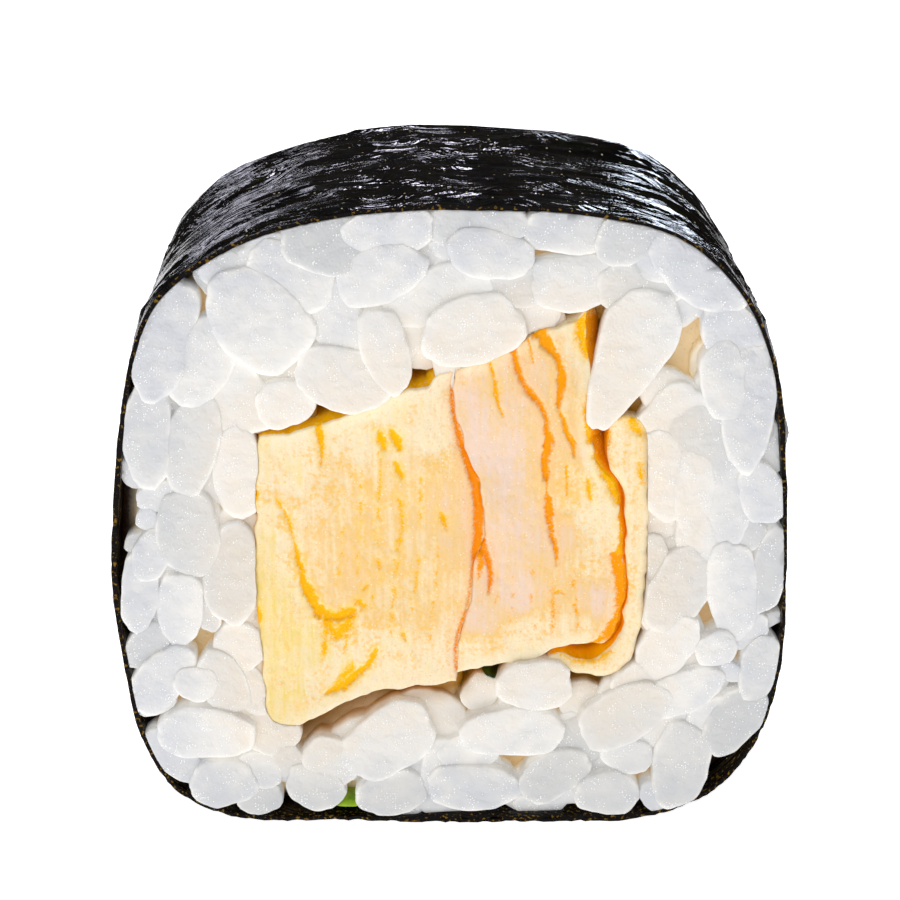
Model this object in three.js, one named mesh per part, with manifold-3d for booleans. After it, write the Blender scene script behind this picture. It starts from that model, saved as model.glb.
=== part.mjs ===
// A thick slice of rolled sushi: a sheet of seaweed round a bed of rice, with a filling of rolled omelette.
// Millimetres, +Z up. The slice stands on the seaweed, and the cut faces look along -Y and +Y.
// The origin is at the middle of the base.
import * as THREE from 'three';
import { mergeVertices } from 'three/addons/utils/BufferGeometryUtils.js';
import Module from 'manifold-3d';

const wasm = await Module();
wasm.setup();

// ---------------------------------------------------------------- driving dimensions, mm

const WIDTH = 50.0; // across the roll
const HEIGHT = 49.3; // base to crown
const THICKNESS = 24.2; // between the two cut edges of the seaweed
const HALF = THICKNESS / 2;
const GAP = 0.3; // clearance between neighbouring pieces

const SHEET = 0.3; // one layer of seaweed
const FLAP_END_X = -3.4; // where the outer end of the sheet lies on the base
const TUCKED_END_X = 15.0; // where its inner end starts, under the flap
const FLAP_RAMP = 6.0; // the single layer comes down to the base line over this length
const STEP = 0.06; // length of the step at each end of the sheet
const AROUND = 96; // facets round the roll
const ALONG = 11; // facets from one cut edge to the other
const WRINKLE_HEIGHT = 0.22;
const WRINKLE_PITCH = 4.6; // from one wrinkle to the next, along the roll's axis
const RIPPLE_PITCH = 2.7; // of the smaller ripples between them

const GRAIN = { long: 7.3, wide: 4.3, deep: 3.9, smallest: 0.78, largest: 1.14 };
const GRAINS_ON_A_FACE = 72;
const SPOTS_TRIED = 70; // for each grain, of which the one with the most room is taken
const GRAIN_BULGE = 0.4; // how far a grain may stand out of the cut face
const GRAIN_SET_BACK = 0.7; // and how far behind that the deepest one lies
const GRAIN_CLEAR = 0.48; // from a grain's middle to the seaweed, as a share of its width
const GRAIN_OVER_EGG = 0.28; // and from its middle to the omelette
const GRAIN_STRAY = 0.3; // turn from the line that it lies along, in radians
const GRAIN_TILT = 0.35; // turn out of the cut face, in radians
const COURSE = 6.5; // grains nearer than this to the seaweed lie along it
const RICE_RECESS = 2.0; // the bed of the rice behind its front grains
const RICE_SHY = 0.5; // and inside the outermost grains
const SIMPLER = 0.09; // detail that is dropped after joining
const SEED = 20;

const EGG_HALF = HALF - 0.2; // the omelette stands just behind the cut edge of the seaweed
const SEAM_WIDTH = 0.42;
const SEAM_DEPTH = 1.4;

// The outline of the roll, as shares of WIDTH from the middle and of HEIGHT from the base.
const ROLL_OUTLINE = [
  [0, 0], [0.14, 0], [0.27, 0], [0.392, 0.043], [0.466, 0.136], [0.498, 0.272], [0.499, 0.406],
  [0.484, 0.609], [0.46, 0.771], [0.408, 0.878], [0.32, 0.957], [0.19, 0.992], [0.05, 1], [-0.06, 1],
  [-0.16, 0.99], [-0.292, 0.953], [-0.408, 0.874], [-0.45, 0.791], [-0.488, 0.568], [-0.5, 0.416], [-0.49, 0.278],
  [-0.47, 0.152], [-0.426, 0.065], [-0.34, 0.015], [-0.16, 0.006],
];

// Outlines of the filling on the cut face, [x, z] in mm.
const EGG_CORE = [
  [-13.9, 32.8], [-14.2, 27.5], [-14.4, 22.7], [-14.2, 16.1], [-13.7, 11.0], [-12.7, 9.1], [-11.5, 8.9],
  [-9.2, 9.9], [-6.2, 11.8], [-3.1, 12.4], [0, 12.8], [0, 15.6], [0.9, 18.7], [1.6, 22.7], [1.4, 25.8],
  [0.2, 32.9], [-0.5, 36.7], [-3.3, 35.8], [-8.7, 33.7],
];
const EGG_FOLDS = [
  [0.5, 37.4], [4.3, 39.1], [6.2, 40.2], [9.3, 41.6], [9.7, 40.3], [10, 34.4], [10.7, 31.3], [12.3, 27.3],
  [12.6, 22.5], [12.3, 18.4], [11.8, 15.9], [11.1, 15.1], [7, 14.7], [3.7, 13.9], [0.6, 13.3],
  [0.6, 15.4], [1.5, 18.6], [2.3, 22.7], [2, 25.9], [0.8, 32.9],
];
const EGG_WRAP = [
  [11.4, 33.6], [13.1, 33.5], [14, 31.2], [14.1, 27.3], [14.1, 19.2], [13.8, 15.9], [12.7, 13.8],
  [10.5, 12.7], [8.5, 13.2], [7.2, 14.2], [9.2, 13.9], [11.3, 14.4], [12.5, 16.2], [12.9, 19.2],
  [13.1, 24.9], [12.8, 28.2], [11.2, 31.5],
];
// The space between the folds and the wrap, which no rice enters.
const WRAP_HOLLOW = [[9.8, 33.4], [13, 33.4], [13.6, 20], [12, 14], [8, 13.8], [7, 20]];

// Open layer seams that run into the folds from both cut faces.
const FOLD_SEAMS = [
  [[4.4, 40.2], [4.7, 37.2], [6.1, 34.8], [6.9, 32.4], [6.8, 30.1], [7, 27.3], [7.7, 23.8], [7.8, 22.1]],
  [[6.3, 41.2], [7.7, 37.8], [7.6, 35.1], [8.3, 33.2], [8.8, 31.3]],
];

// Scraps of green leaf: [x, y, z] of the middle, then width, length and thickness, all mm.
const LEAVES = {
  leaf_by_egg: { middle: [3.1, -8.1, 12.55], size: [1.9, 7.4, 0.6], wave: 0.12 },
  leaf_by_base: { middle: [-7.9, -8.4, 1.75], size: [2.3, 7.0, 0.7], wave: 0.15 },
};
const LEAF_STEPS = [3, 1, 8];

// ---------------------------------------------------------------- materials

const seaweed = new THREE.MeshStandardMaterial({ color: 0x11130c, roughness: 0.32, metalness: 0 });
const cookedRice = new THREE.MeshStandardMaterial({ color: 0xeeeeec, roughness: 0.35, metalness: 0 });
const paleEgg = new THREE.MeshStandardMaterial({ color: 0xfbe6ad, roughness: 0.5, metalness: 0 });
const warmEgg = new THREE.MeshStandardMaterial({ color: 0xf9dcbc, roughness: 0.5, metalness: 0 });
const leafGreen = new THREE.MeshStandardMaterial({ color: 0x3f7a1c, roughness: 0.45, metalness: 0 });

// ---------------------------------------------------------------- helpers

let drawState = SEED;
/** The next of a repeatable row of draws, from low to high. */
function draw(low, high) {
  drawState = (drawState * 1664525 + 1013904223) % 4294967296;
  return low + ((high - low) * drawState) / 4294967296;
}

/** A closed smooth curve through the roll's outline. */
const rollCurve = new THREE.CatmullRomCurve3(
  ROLL_OUTLINE.map(([across, up]) => new THREE.Vector3(across * WIDTH, 0, up * HEIGHT)), true, 'centripetal');
rollCurve.arcLengthDivisions = 1200;

/** The point at share u of the way round the roll, and its outward normal, both as Vector2 of x and z. */
function rollAt(u) {
  const share = ((u % 1) + 1) % 1;
  const point = rollCurve.getPointAt(share);
  const along = rollCurve.getTangentAt(share);
  const onBase = Math.max(point.z, 0);
  return { point: new THREE.Vector2(point.x, onBase), out: new THREE.Vector2(along.z, -along.x) };
}

/** The roll's outline pushed inwards by a distance, as a closed list of Vector2. */
function rollLoop(inset, count = AROUND) {
  return Array.from({ length: count }, (_, i) => {
    const { point, out } = rollAt(i / count);
    return point.addScaledVector(out, -inset);
  });
}

/** A closed list of [x, z] points pushed outwards by a distance at each corner. */
function grown(points, distance) {
  const loop = points.map(([x, z]) => new THREE.Vector2(x, z));
  const side = THREE.ShapeUtils.isClockWise(loop) ? -1 : 1;
  return loop.map((point, i) => {
    const before = point.clone().sub(loop.at(i - 1)).normalize();
    const after = loop[(i + 1) % loop.length].clone().sub(point).normalize();
    const along = before.clone().add(after).normalize();
    const out = new THREE.Vector2(along.y, -along.x).multiplyScalar(side);
    const stretch = 1 / Math.max(0.6, Math.abs(along.dot(after)));
    return point.clone().addScaledVector(out, distance * stretch);
  });
}

/** A prism of a closed x-z outline, from y = back to y = front, where front is the larger. */
function prism(loop, back, front) {
  const sweep = { depth: front - back, bevelEnabled: false };
  const geometry = new THREE.ExtrudeGeometry(new THREE.Shape(loop), sweep);
  return geometry.rotateX(Math.PI / 2).translate(0, front, 0);
}

/** A closed geometry as a solid that can be joined and cut. */
function solid(geometry) {
  const bare = geometry.clone();
  bare.deleteAttribute('normal');
  bare.deleteAttribute('uv');
  const merged = mergeVertices(bare, 1e-4);
  return new wasm.Manifold(new wasm.Mesh({
    numProp: 3,
    vertProperties: new Float32Array(merged.attributes.position.array),
    triVerts: new Uint32Array(merged.index.array),
  }));
}

/** The largest piece of a joined or cut solid, as a geometry, without sealed hollows and loose scraps. */
function asGeometry(joined) {
  const pieces = joined.simplify(SIMPLER).decompose();
  const main = pieces.reduce((best, piece) => (piece.volume() > best.volume() ? piece : best));
  const mesh = main.getMesh();
  const geometry = new THREE.BufferGeometry();
  geometry.setAttribute('position', new THREE.BufferAttribute(new Float32Array(mesh.vertProperties), 3));
  geometry.setIndex(new THREE.BufferAttribute(new Uint32Array(mesh.triVerts), 1));
  const flat = geometry.toNonIndexed();
  flat.computeVertexNormals();
  return flat;
}

/** True if the x-z point lies inside the closed loop of Vector2. */
function isInside(x, z, loop) {
  let inside = false;
  loop.forEach((a, i) => {
    const b = loop.at(i - 1);
    if (a.y > z !== b.y > z && x < a.x + ((b.x - a.x) * (z - a.y)) / (b.y - a.y)) inside = !inside;
  });
  return inside;
}

// ---------------------------------------------------------------- seaweed

/** How far the sheet's outer face stands out at y: wrinkles that run round the roll, and none at the base. */
function wrinkle(u, y, out) {
  const turn = u * Math.PI * 2;
  const wander = 1.1 * Math.sin(3 * turn + 1) + 0.7 * Math.sin(7 * turn + 2);
  const large = Math.sin((y / WRINKLE_PITCH) * Math.PI * 2 + wander);
  const small = Math.sin((y / RIPPLE_PITCH) * Math.PI * 2 + 5 * turn);
  const ridge = large + 0.5 * small;
  const clearOfBase = THREE.MathUtils.smoothstep(out.y, -0.9, -0.3);
  return WRINKLE_HEIGHT * clearOfBase * THREE.MathUtils.smoothstep(ridge, -1, 1.3);
}

/** The share of the way round at which the base has this x. */
function baseShare(x) {
  const count = 4000;
  let best = { share: 0, miss: Infinity };
  for (let i = 0; i < count; i += 1) {
    const { point, out } = rollAt(i / count);
    const miss = Math.abs(point.x - x);
    if (out.y < -0.7 && miss < best.miss) best = { share: i / count, miss };
  }
  return best.share;
}

/**
 * The section of the rolled sheet, whose two ends overlap along the base: places round the roll, each with
 * how far the sheet's outer and inner faces lie inside the roll's outline. There is a step at each of its ends.
 */
function sheetSection() {
  const round = rollCurve.getLength();
  const step = STEP / round;
  const flapEnd = baseShare(FLAP_END_X);
  const tuckedEnd = baseShare(TUCKED_END_X);
  const regular = Array.from({ length: AROUND }, (_, i) => i / AROUND);
  const ends = [flapEnd, tuckedEnd];
  const clear = regular.filter((u) => ends.every((end) => Math.abs(u - end) > 3 * step));
  const shares = [...clear, flapEnd, flapEnd - step, tuckedEnd, tuckedEnd + step].sort((a, b) => a - b);
  return shares.map((u) => {
    const doubled = u >= flapEnd || u <= tuckedEnd;
    const pastFlap = doubled ? Infinity : (flapEnd - u) * round;
    const outer = SHEET * Math.max(0, 1 - pastFlap / FLAP_RAMP);
    return { u, outer, inner: outer + (doubled ? 2 : 1) * SHEET, ...rollAt(u) };
  });
}

/** A closed loop inside the sheet, at a clearance from its inner face. */
function loopInsideSheet(clearance) {
  return sheetSection().map(({ point, out, inner }) => point.addScaledVector(out, -inner - clearance));
}

/** The rolled sheet as one closed tube, wrinkled outside. */
function seaweedTube() {
  const rows = sheetSection();
  const positions = [];
  const column = (row, j, inset, relief) => {
    const y = -HALF + (THICKNESS * j) / ALONG;
    const rise = relief ? wrinkle(row.u, y, row.out) : 0;
    const place = row.point.clone().addScaledVector(row.out, rise - inset);
    positions.push(place.x, y, Math.max(place.y, 0));
  };
  for (let j = 0; j <= ALONG; j += 1) rows.forEach((row) => column(row, j, row.outer, true));
  for (let j = 0; j <= 1; j += 1) rows.forEach((row) => column(row, j * ALONG, row.inner, false));
  const n = rows.length;
  const innerStart = (ALONG + 1) * n;
  const index = [];
  const quad = (a, b, c, d) => index.push(a, b, c, a, c, d);
  for (let i = 0; i < n; i += 1) {
    const next = (i + 1) % n;
    for (let j = 0; j < ALONG; j += 1) quad(j * n + i, (j + 1) * n + i, (j + 1) * n + next, j * n + next);
    quad(innerStart + i, innerStart + next, innerStart + n + next, innerStart + n + i);
    quad(i, next, innerStart + next, innerStart + i);
    quad(ALONG * n + i, innerStart + n + i, innerStart + n + next, ALONG * n + next);
  }
  const geometry = new THREE.BufferGeometry();
  geometry.setAttribute('position', new THREE.Float32BufferAttribute(positions, 3));
  geometry.setIndex(index);
  const flat = geometry.toNonIndexed();
  flat.computeVertexNormals();
  return flat;
}

// ---------------------------------------------------------------- filling

/** One block of omelette, through the whole slice. */
function eggBlock(outline) {
  return prism(outline.map(([x, z]) => new THREE.Vector2(x, z)), -EGG_HALF, EGG_HALF);
}

/** A narrow closed ribbon along a line of [x, z] points, tapered to a point at its end. */
function ribbon(line, width) {
  const side = (i, sign) => {
    const from = new THREE.Vector2(...line[Math.max(i - 1, 0)]);
    const to = new THREE.Vector2(...line[Math.min(i + 1, line.length - 1)]);
    const along = to.sub(from).normalize();
    const half = (width / 2) * (1 - (0.8 * i) / (line.length - 1));
    return new THREE.Vector2(line[i][0] - sign * along.y * half, line[i][1] + sign * along.x * half);
  };
  const there = line.map((_, i) => side(i, 1));
  const back = line.map((_, i) => side(i, -1)).reverse();
  return [...there, ...back];
}

/** The folded layers, with their open seams cut into both faces. */
function eggFolds() {
  let folds = solid(eggBlock(EGG_FOLDS));
  FOLD_SEAMS.forEach((line) => {
    const loop = ribbon(line, SEAM_WIDTH);
    folds = folds.subtract(solid(prism(loop, -HALF - 1, -EGG_HALF + SEAM_DEPTH)));
    folds = folds.subtract(solid(prism(loop, EGG_HALF - SEAM_DEPTH, HALF + 1)));
  });
  return asGeometry(folds);
}

/** A thin wavy scrap of leaf, centred on its own origin, grown by an allowance on every side. */
function leafScrap({ size: [width, length, thick], wave }, allowance = 0) {
  const [across, through, along] = LEAF_STEPS;
  const geometry = new THREE.BoxGeometry(
    width + 2 * allowance, length + 2 * allowance, thick + 2 * allowance, across, along, through);
  const place = geometry.attributes.position;
  for (let i = 0; i < place.count; i += 1) {
    const lift = wave * (Math.sin(place.getY(i) * 1.7) + Math.cos(place.getX(i) * 2.1));
    place.setZ(i, place.getZ(i) + lift);
  }
  geometry.computeVertexNormals();
  return geometry;
}

// ---------------------------------------------------------------- rice

/** The bed that the filling lies in, which no rice enters. */
function fillingBed() {
  const reach = HALF + 3;
  return [EGG_CORE, EGG_FOLDS, EGG_WRAP, WRAP_HOLLOW]
    .map((outline) => solid(prism(grown(outline, GAP), -reach, reach)))
    .reduce((bed, piece) => bed.add(piece));
}

/** Grains of one cut face, largest first, each put at the one of its drawn spots that has the most room. */
function layGrains() {
  const bounds = rollLoop(SHEET + GRAIN.wide * GRAIN_CLEAR);
  const egg = [EGG_CORE, EGG_FOLDS, EGG_WRAP].map((outline) => grown(outline, GRAIN.wide * GRAIN_OVER_EGG));
  const course = rollLoop(SHEET + COURSE);
  const laid = [];
  for (let i = 0; i < GRAINS_ON_A_FACE; i += 1) {
    const scale = THREE.MathUtils.lerp(GRAIN.largest, GRAIN.smallest, i / GRAINS_ON_A_FACE);
    let best = { room: -1 };
    for (let spot = 0; spot < SPOTS_TRIED; spot += 1) {
      const x = draw(-WIDTH / 2, WIDTH / 2);
      const z = draw(0, HEIGHT);
      const free = isInside(x, z, bounds) && !egg.some((outline) => isInside(x, z, outline));
      const apart = laid.map((other) => Math.hypot(x - other.x, z - other.z));
      const room = free ? Math.min(WIDTH, ...apart) : -1;
      if (room > best.room) best = { room, x, z };
    }
    const { x, z } = best;
    const inMiddle = isInside(x, z, course);
    const turned = inMiddle ? draw(0, Math.PI) : sheetAngle(x, z) + draw(-GRAIN_STRAY, GRAIN_STRAY);
    laid.push({ x, z, scale, turned, tilt: draw(-GRAIN_TILT, GRAIN_TILT), depth: draw(0, GRAIN_SET_BACK) });
  }
  return laid;
}

/** The direction of the seaweed nearest to a point, as an angle in the x-z plane. */
function sheetAngle(x, z) {
  const count = 240;
  let best = { miss: Infinity, angle: 0 };
  for (let i = 0; i < count; i += 1) {
    const { point, out } = rollAt(i / count);
    const miss = Math.hypot(point.x - x, point.y - z);
    if (miss < best.miss) best = { miss, angle: Math.atan2(out.x, -out.y) };
  }
  return best.angle;
}

/** One grain as a scaled ball, in place on the cut face that looks along side * Y. */
function grainSolid(grain, side) {
  const ball = new THREE.SphereGeometry(0.5, 6, 4).rotateZ(Math.PI / 2);
  ball.scale(GRAIN.long * grain.scale, GRAIN.deep * grain.scale, GRAIN.wide * grain.scale);
  ball.rotateZ(grain.tilt).rotateY(-grain.turned);
  const y = side * (HALF + GRAIN_BULGE - GRAIN.deep * grain.scale * 0.5 - grain.depth);
  return solid(ball.translate(grain.x, y, grain.z));
}

/** The packed rice: a bed between the cut faces, with the grains that show fused on to it. */
function riceHeap() {
  const bedHalf = HALF - RICE_RECESS;
  const bed = solid(prism(loopInsideSheet(GAP + RICE_SHY), -bedHalf, bedHalf));
  const grains = [-1, 1].flatMap((side) => layGrains().map((grain) => grainSolid(grain, side)));
  const leaves = Object.values(LEAVES).map((leaf) => solid(leafScrap(leaf, GAP).translate(...leaf.middle)));
  const reach = HALF + GRAIN_BULGE;
  let heap = wasm.Manifold.union([bed, ...grains]);
  heap = heap.intersect(solid(prism(loopInsideSheet(GAP), -reach, reach)));
  heap = heap.subtract(fillingBed());
  leaves.forEach((leaf) => {
    heap = heap.subtract(leaf);
  });
  return asGeometry(heap);
}

// ---------------------------------------------------------------- the slice

/** A named mesh of its own material. */
function piece(name, geometry, material) {
  const mesh = new THREE.Mesh(geometry, material);
  mesh.name = name;
  return mesh;
}

const slice = new THREE.Group();
slice.add(piece('nori', seaweedTube(), seaweed));
slice.add(piece('rice', riceHeap(), cookedRice));

const filling = new THREE.Group();
filling.add(piece('egg_core', eggBlock(EGG_CORE), paleEgg));
filling.add(piece('egg_folds', eggFolds(), warmEgg));
filling.add(piece('egg_wrap', eggBlock(EGG_WRAP), paleEgg));
slice.add(filling);

Object.entries(LEAVES).forEach(([name, leaf]) => {
  const scrap = piece(name, leafScrap(leaf), leafGreen);
  scrap.position.set(...leaf.middle);
  slice.add(scrap);
});

export default slice;
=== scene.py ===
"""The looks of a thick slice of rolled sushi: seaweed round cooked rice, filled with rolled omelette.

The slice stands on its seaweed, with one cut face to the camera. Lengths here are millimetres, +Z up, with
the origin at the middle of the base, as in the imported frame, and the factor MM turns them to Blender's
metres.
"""

import logging
import math
from dataclasses import dataclass, field
from enum import Enum

import bpy
import numpy as np
from bpy.types import ID, Material, Node, NodeSocket, Object
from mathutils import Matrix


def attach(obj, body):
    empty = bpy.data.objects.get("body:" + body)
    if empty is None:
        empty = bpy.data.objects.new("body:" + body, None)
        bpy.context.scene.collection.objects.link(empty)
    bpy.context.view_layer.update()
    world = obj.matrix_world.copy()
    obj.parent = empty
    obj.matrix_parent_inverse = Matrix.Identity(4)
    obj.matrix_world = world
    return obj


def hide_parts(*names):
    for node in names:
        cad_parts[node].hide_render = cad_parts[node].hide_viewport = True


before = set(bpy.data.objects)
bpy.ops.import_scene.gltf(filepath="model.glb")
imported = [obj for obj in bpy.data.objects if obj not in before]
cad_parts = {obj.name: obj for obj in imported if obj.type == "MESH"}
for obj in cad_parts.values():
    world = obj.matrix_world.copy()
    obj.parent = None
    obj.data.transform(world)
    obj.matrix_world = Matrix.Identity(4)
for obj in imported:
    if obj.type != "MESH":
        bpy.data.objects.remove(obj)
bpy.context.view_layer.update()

LOG = logging.getLogger("maki_roll")
MM = 0.001  # metres in a millimetre
Array = np.ndarray
Pixels = tuple[tuple[float, float], ...]  # a line on the photo: across and down for each of its places
Spots = tuple[tuple[float, float, float], ...]  # places on the photo: across, down and a value for each
Sides = tuple[float, float, float, float]  # a value for each wall of a block: bottom, right, top and left
BODY = "root"

WIDTH = 50.0  # across the roll
HEIGHT = 49.3  # base to crown
HALF = 12.1  # from the middle of the slice to a cut edge of the seaweed
SHEET = 0.3  # one layer of seaweed
FLAP_END = -3.4  # x of the seaweed's outer end, on the base
TUCKED_END = 15.0  # x of its inner end, which lies on the flap
FLAP_TAPER = 3.0  # the flap thins out to its end over this length
RICE_FRONT = HALF + 0.4  # the foremost grains stand out of the cut by this much more
EGG_FRONT = HALF - 0.2  # the omelette's cut face

# The outline of the roll, as shares of WIDTH from the middle and of HEIGHT from the base.
ROLL_OUTLINE = (
    (0, 0), (0.14, 0), (0.27, 0), (0.392, 0.043), (0.466, 0.136), (0.498, 0.272), (0.499, 0.406),
    (0.484, 0.609), (0.46, 0.771), (0.408, 0.878), (0.32, 0.957), (0.19, 0.992), (0.05, 1), (-0.06, 1),
    (-0.16, 0.99), (-0.292, 0.953), (-0.408, 0.874), (-0.45, 0.791), (-0.488, 0.568), (-0.5, 0.416),
    (-0.49, 0.278), (-0.47, 0.152), (-0.426, 0.065), (-0.34, 0.015), (-0.16, 0.006),
)


# ---------------------------------------------------------------- numbers and curves


def linear(colour: str) -> tuple[float, float, float, float]:
    """Turns an sRGB hex colour to the linear values that a shader takes.

    Args:
        colour: six hex digits after a hash sign.

    Returns:
        Red, green, blue and an alpha of one.
    """
    shares = [int(colour[i:i + 2], 16) / 255 for i in (1, 3, 5)]
    red, green, blue = (s / 12.92 if s <= 0.04045 else ((s + 0.055) / 1.055) ** 2.4 for s in shares)
    return red, green, blue, 1.0


def smoothstep(low: float, high: float, value: Array) -> Array:
    """Rises smoothly from 0 at low to 1 at high: 3 t squared less 2 t cubed, of the share t between them."""
    share = np.clip((value - low) / (high - low), 0, 1)
    return share * share * (3 - 2 * share)


@dataclass(frozen=True)
class Noise:
    """Smooth value noise over two parameters: a lattice of seeded draws, blended by smooth steps."""

    seed: int
    lattice: int = 256

    def at(self, a: Array, b: Array) -> Array:
        """Gives the noise, from -1 to 1, at places counted in lattice cells.

        Args:
            a: first parameter, in cells.
            b: second parameter, in cells, of the same shape.

        Returns:
            The noise at each place.
        """
        table = np.random.default_rng(self.seed).uniform(-1, 1, (self.lattice, self.lattice))
        a, b = np.broadcast_arrays(np.asarray(a, float), np.asarray(b, float))
        column, row = np.floor(a).astype(int), np.floor(b).astype(int)
        across, up = smoothstep(0, 1, a - column), smoothstep(0, 1, b - row)
        size = self.lattice
        corner = [table[(column + i) % size, (row + j) % size] for i in (0, 1) for j in (0, 1)]
        near = corner[0] * (1 - up) + corner[1] * up
        far = corner[2] * (1 - up) + corner[3] * up
        return near * (1 - across) + far * across


def through(points: Array, closed: bool, steps: int = 24) -> Array:
    """Draws a centripetal Catmull-Rom curve through points.

    Between two points it is the cubic that leaves and reaches them along the slopes of the parabola through
    each point and its neighbours, with the square root of each chord as the parameter.

    Args:
        points: the points, a row each.
        closed: whether the last point leads back to the first.
        steps: places on the curve for each pair of points.

    Returns:
        The places on the curve, a row each, without a repeat of the first on a closed one.
    """
    points = np.asarray(points, float)
    if closed:
        ring = np.vstack([points[-1:], points, points[:2]])
    else:
        ring = np.vstack([2 * points[0] - points[1], points, 2 * points[-1] - points[-2]])
    start, here, there, end = ring[:-3], ring[1:-2], ring[2:-1], ring[3:]
    first, middle, last = (np.sqrt(np.linalg.norm(q - p, axis=1))[:, None]
                           for p, q in ((start, here), (here, there), (there, end)))
    leave = ((here - start) / first - (there - start) / (first + middle) + (there - here) / middle) * middle
    reach = ((there - here) / middle - (end - here) / (middle + last) + (end - there) / last) * middle
    t = (np.arange(steps) / steps)[None, :, None]
    here, there, leave, reach = (v[:, None, :] for v in (here, there, leave, reach))
    curve = ((2 * t**3 - 3 * t**2 + 1) * here + (t**3 - 2 * t**2 + t) * leave
             + (3 * t**2 - 2 * t**3) * there + (t**3 - t**2) * reach).reshape(-1, points.shape[1])
    return curve if closed else np.vstack([curve, points[-1:]])


def spaced(curve: Array, count: int) -> Array:
    """Gives count places along an open curve, evenly by its length, both ends included.

    Args:
        curve: its places, a row each.
        count: how many to give.

    Returns:
        Their places, a row each.
    """
    run = np.concatenate([[0], np.cumsum(np.linalg.norm(np.diff(curve, axis=0), axis=1))])
    places = np.linspace(0, run[-1], count)
    return np.column_stack([np.interp(places, run, curve[:, i]) for i in range(curve.shape[1])])


def nearest(points: Array, curve: Array, batch: int = 8000) -> tuple[Array, Array]:
    """Finds the place of a sampled curve that is nearest to each point.

    Args:
        points: a row for each point.
        curve: a row for each place on the curve.
        batch: points measured at once.

    Returns:
        The distance to the curve and the row of its nearest place, for each point.
    """
    distance, place = np.empty(len(points)), np.empty(len(points), int)
    for start in range(0, len(points), batch):
        part = points[start:start + batch]
        squares = ((part[:, None, :] - curve[None, :, :]) ** 2).sum(2)
        best = squares.argmin(1)
        place[start:start + batch] = best
        distance[start:start + batch] = np.sqrt(squares[np.arange(len(part)), best])
    return distance, place


def inside(points: Array, loop: Array, batch: int = 8000) -> Array:
    """Tells which points lie in a closed loop: a line to their right crosses it an odd number of times.

    Args:
        points: x and z of each.
        loop: x and z of each place of the loop.
        batch: points tested at once.

    Returns:
        Whether each point lies inside.
    """
    ax, az = loop[:, 0], loop[:, 1]
    bx, bz = np.roll(ax, 1), np.roll(az, 1)
    rise = np.where(bz == az, 1e-9, bz - az)
    odd = np.empty(len(points), bool)
    for start in range(0, len(points), batch):
        x, z = points[start:start + batch, :1], points[start:start + batch, 1:]
        spans = (az > z) != (bz > z)
        odd[start:start + batch] = (spans & (x < ax + (bx - ax) * (z - az) / rise)).sum(1) % 2 == 1
    return odd


def linked(name: str, data: ID) -> Object:
    """Makes an object of a mesh, a light or a camera, and links it to the scene."""
    made = bpy.data.objects.new(name, data)
    bpy.context.scene.collection.objects.link(made)
    return made


class RollOutline:
    """The roll's outline as a closed curve, measured along its length from the middle of the base."""

    def __init__(self) -> None:
        """Samples the curve, its length and its outward normals."""
        curve = through(np.array(ROLL_OUTLINE) * (WIDTH, HEIGHT), closed=True, steps=60)
        loop = np.vstack([curve, curve[:1]])
        self.run = np.concatenate([[0], np.cumsum(np.linalg.norm(np.diff(loop, axis=0), axis=1))])
        self.length = self.run[-1]
        slope = np.roll(curve, -1, axis=0) - np.roll(curve, 1, axis=0)
        slope /= np.linalg.norm(slope, axis=1)[:, None]
        self.points = np.maximum(loop, (-np.inf, 0))
        self.out = np.vstack([np.column_stack([slope[:, 1], -slope[:, 0]]), [[slope[0, 1], -slope[0, 0]]]])

    def at(self, distance: Array) -> tuple[Array, Array]:
        """Gives places on the outline.

        Args:
            distance: how far round each place is, which may pass the start in either direction.

        Returns:
            The x and z of each place, and of the outward normal there.
        """
        distance = np.mod(distance, self.length)
        point = np.stack([np.interp(distance, self.run, self.points[:, i]) for i in (0, 1)], axis=-1)
        out = np.stack([np.interp(distance, self.run, self.out[:, i]) for i in (0, 1)], axis=-1)
        return point, out / np.linalg.norm(out, axis=-1, keepdims=True)

    def lining(self, count: int = 400) -> Array:
        """Follows the inside of the seaweed, which is two layers deep where its ends lap.

        Args:
            count: how many to give, evenly round the roll.

        Returns:
            Their x and z, a row each.
        """
        distance = np.arange(count) / count * self.length
        x = np.where(distance > self.length / 2, distance - self.length, distance)
        lapped = smoothstep(FLAP_END, FLAP_END + FLAP_TAPER, x) * (x < TUCKED_END)
        point, out = self.at(distance)
        return point - out * (SHEET * (1 + lapped))[:, None]


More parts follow.
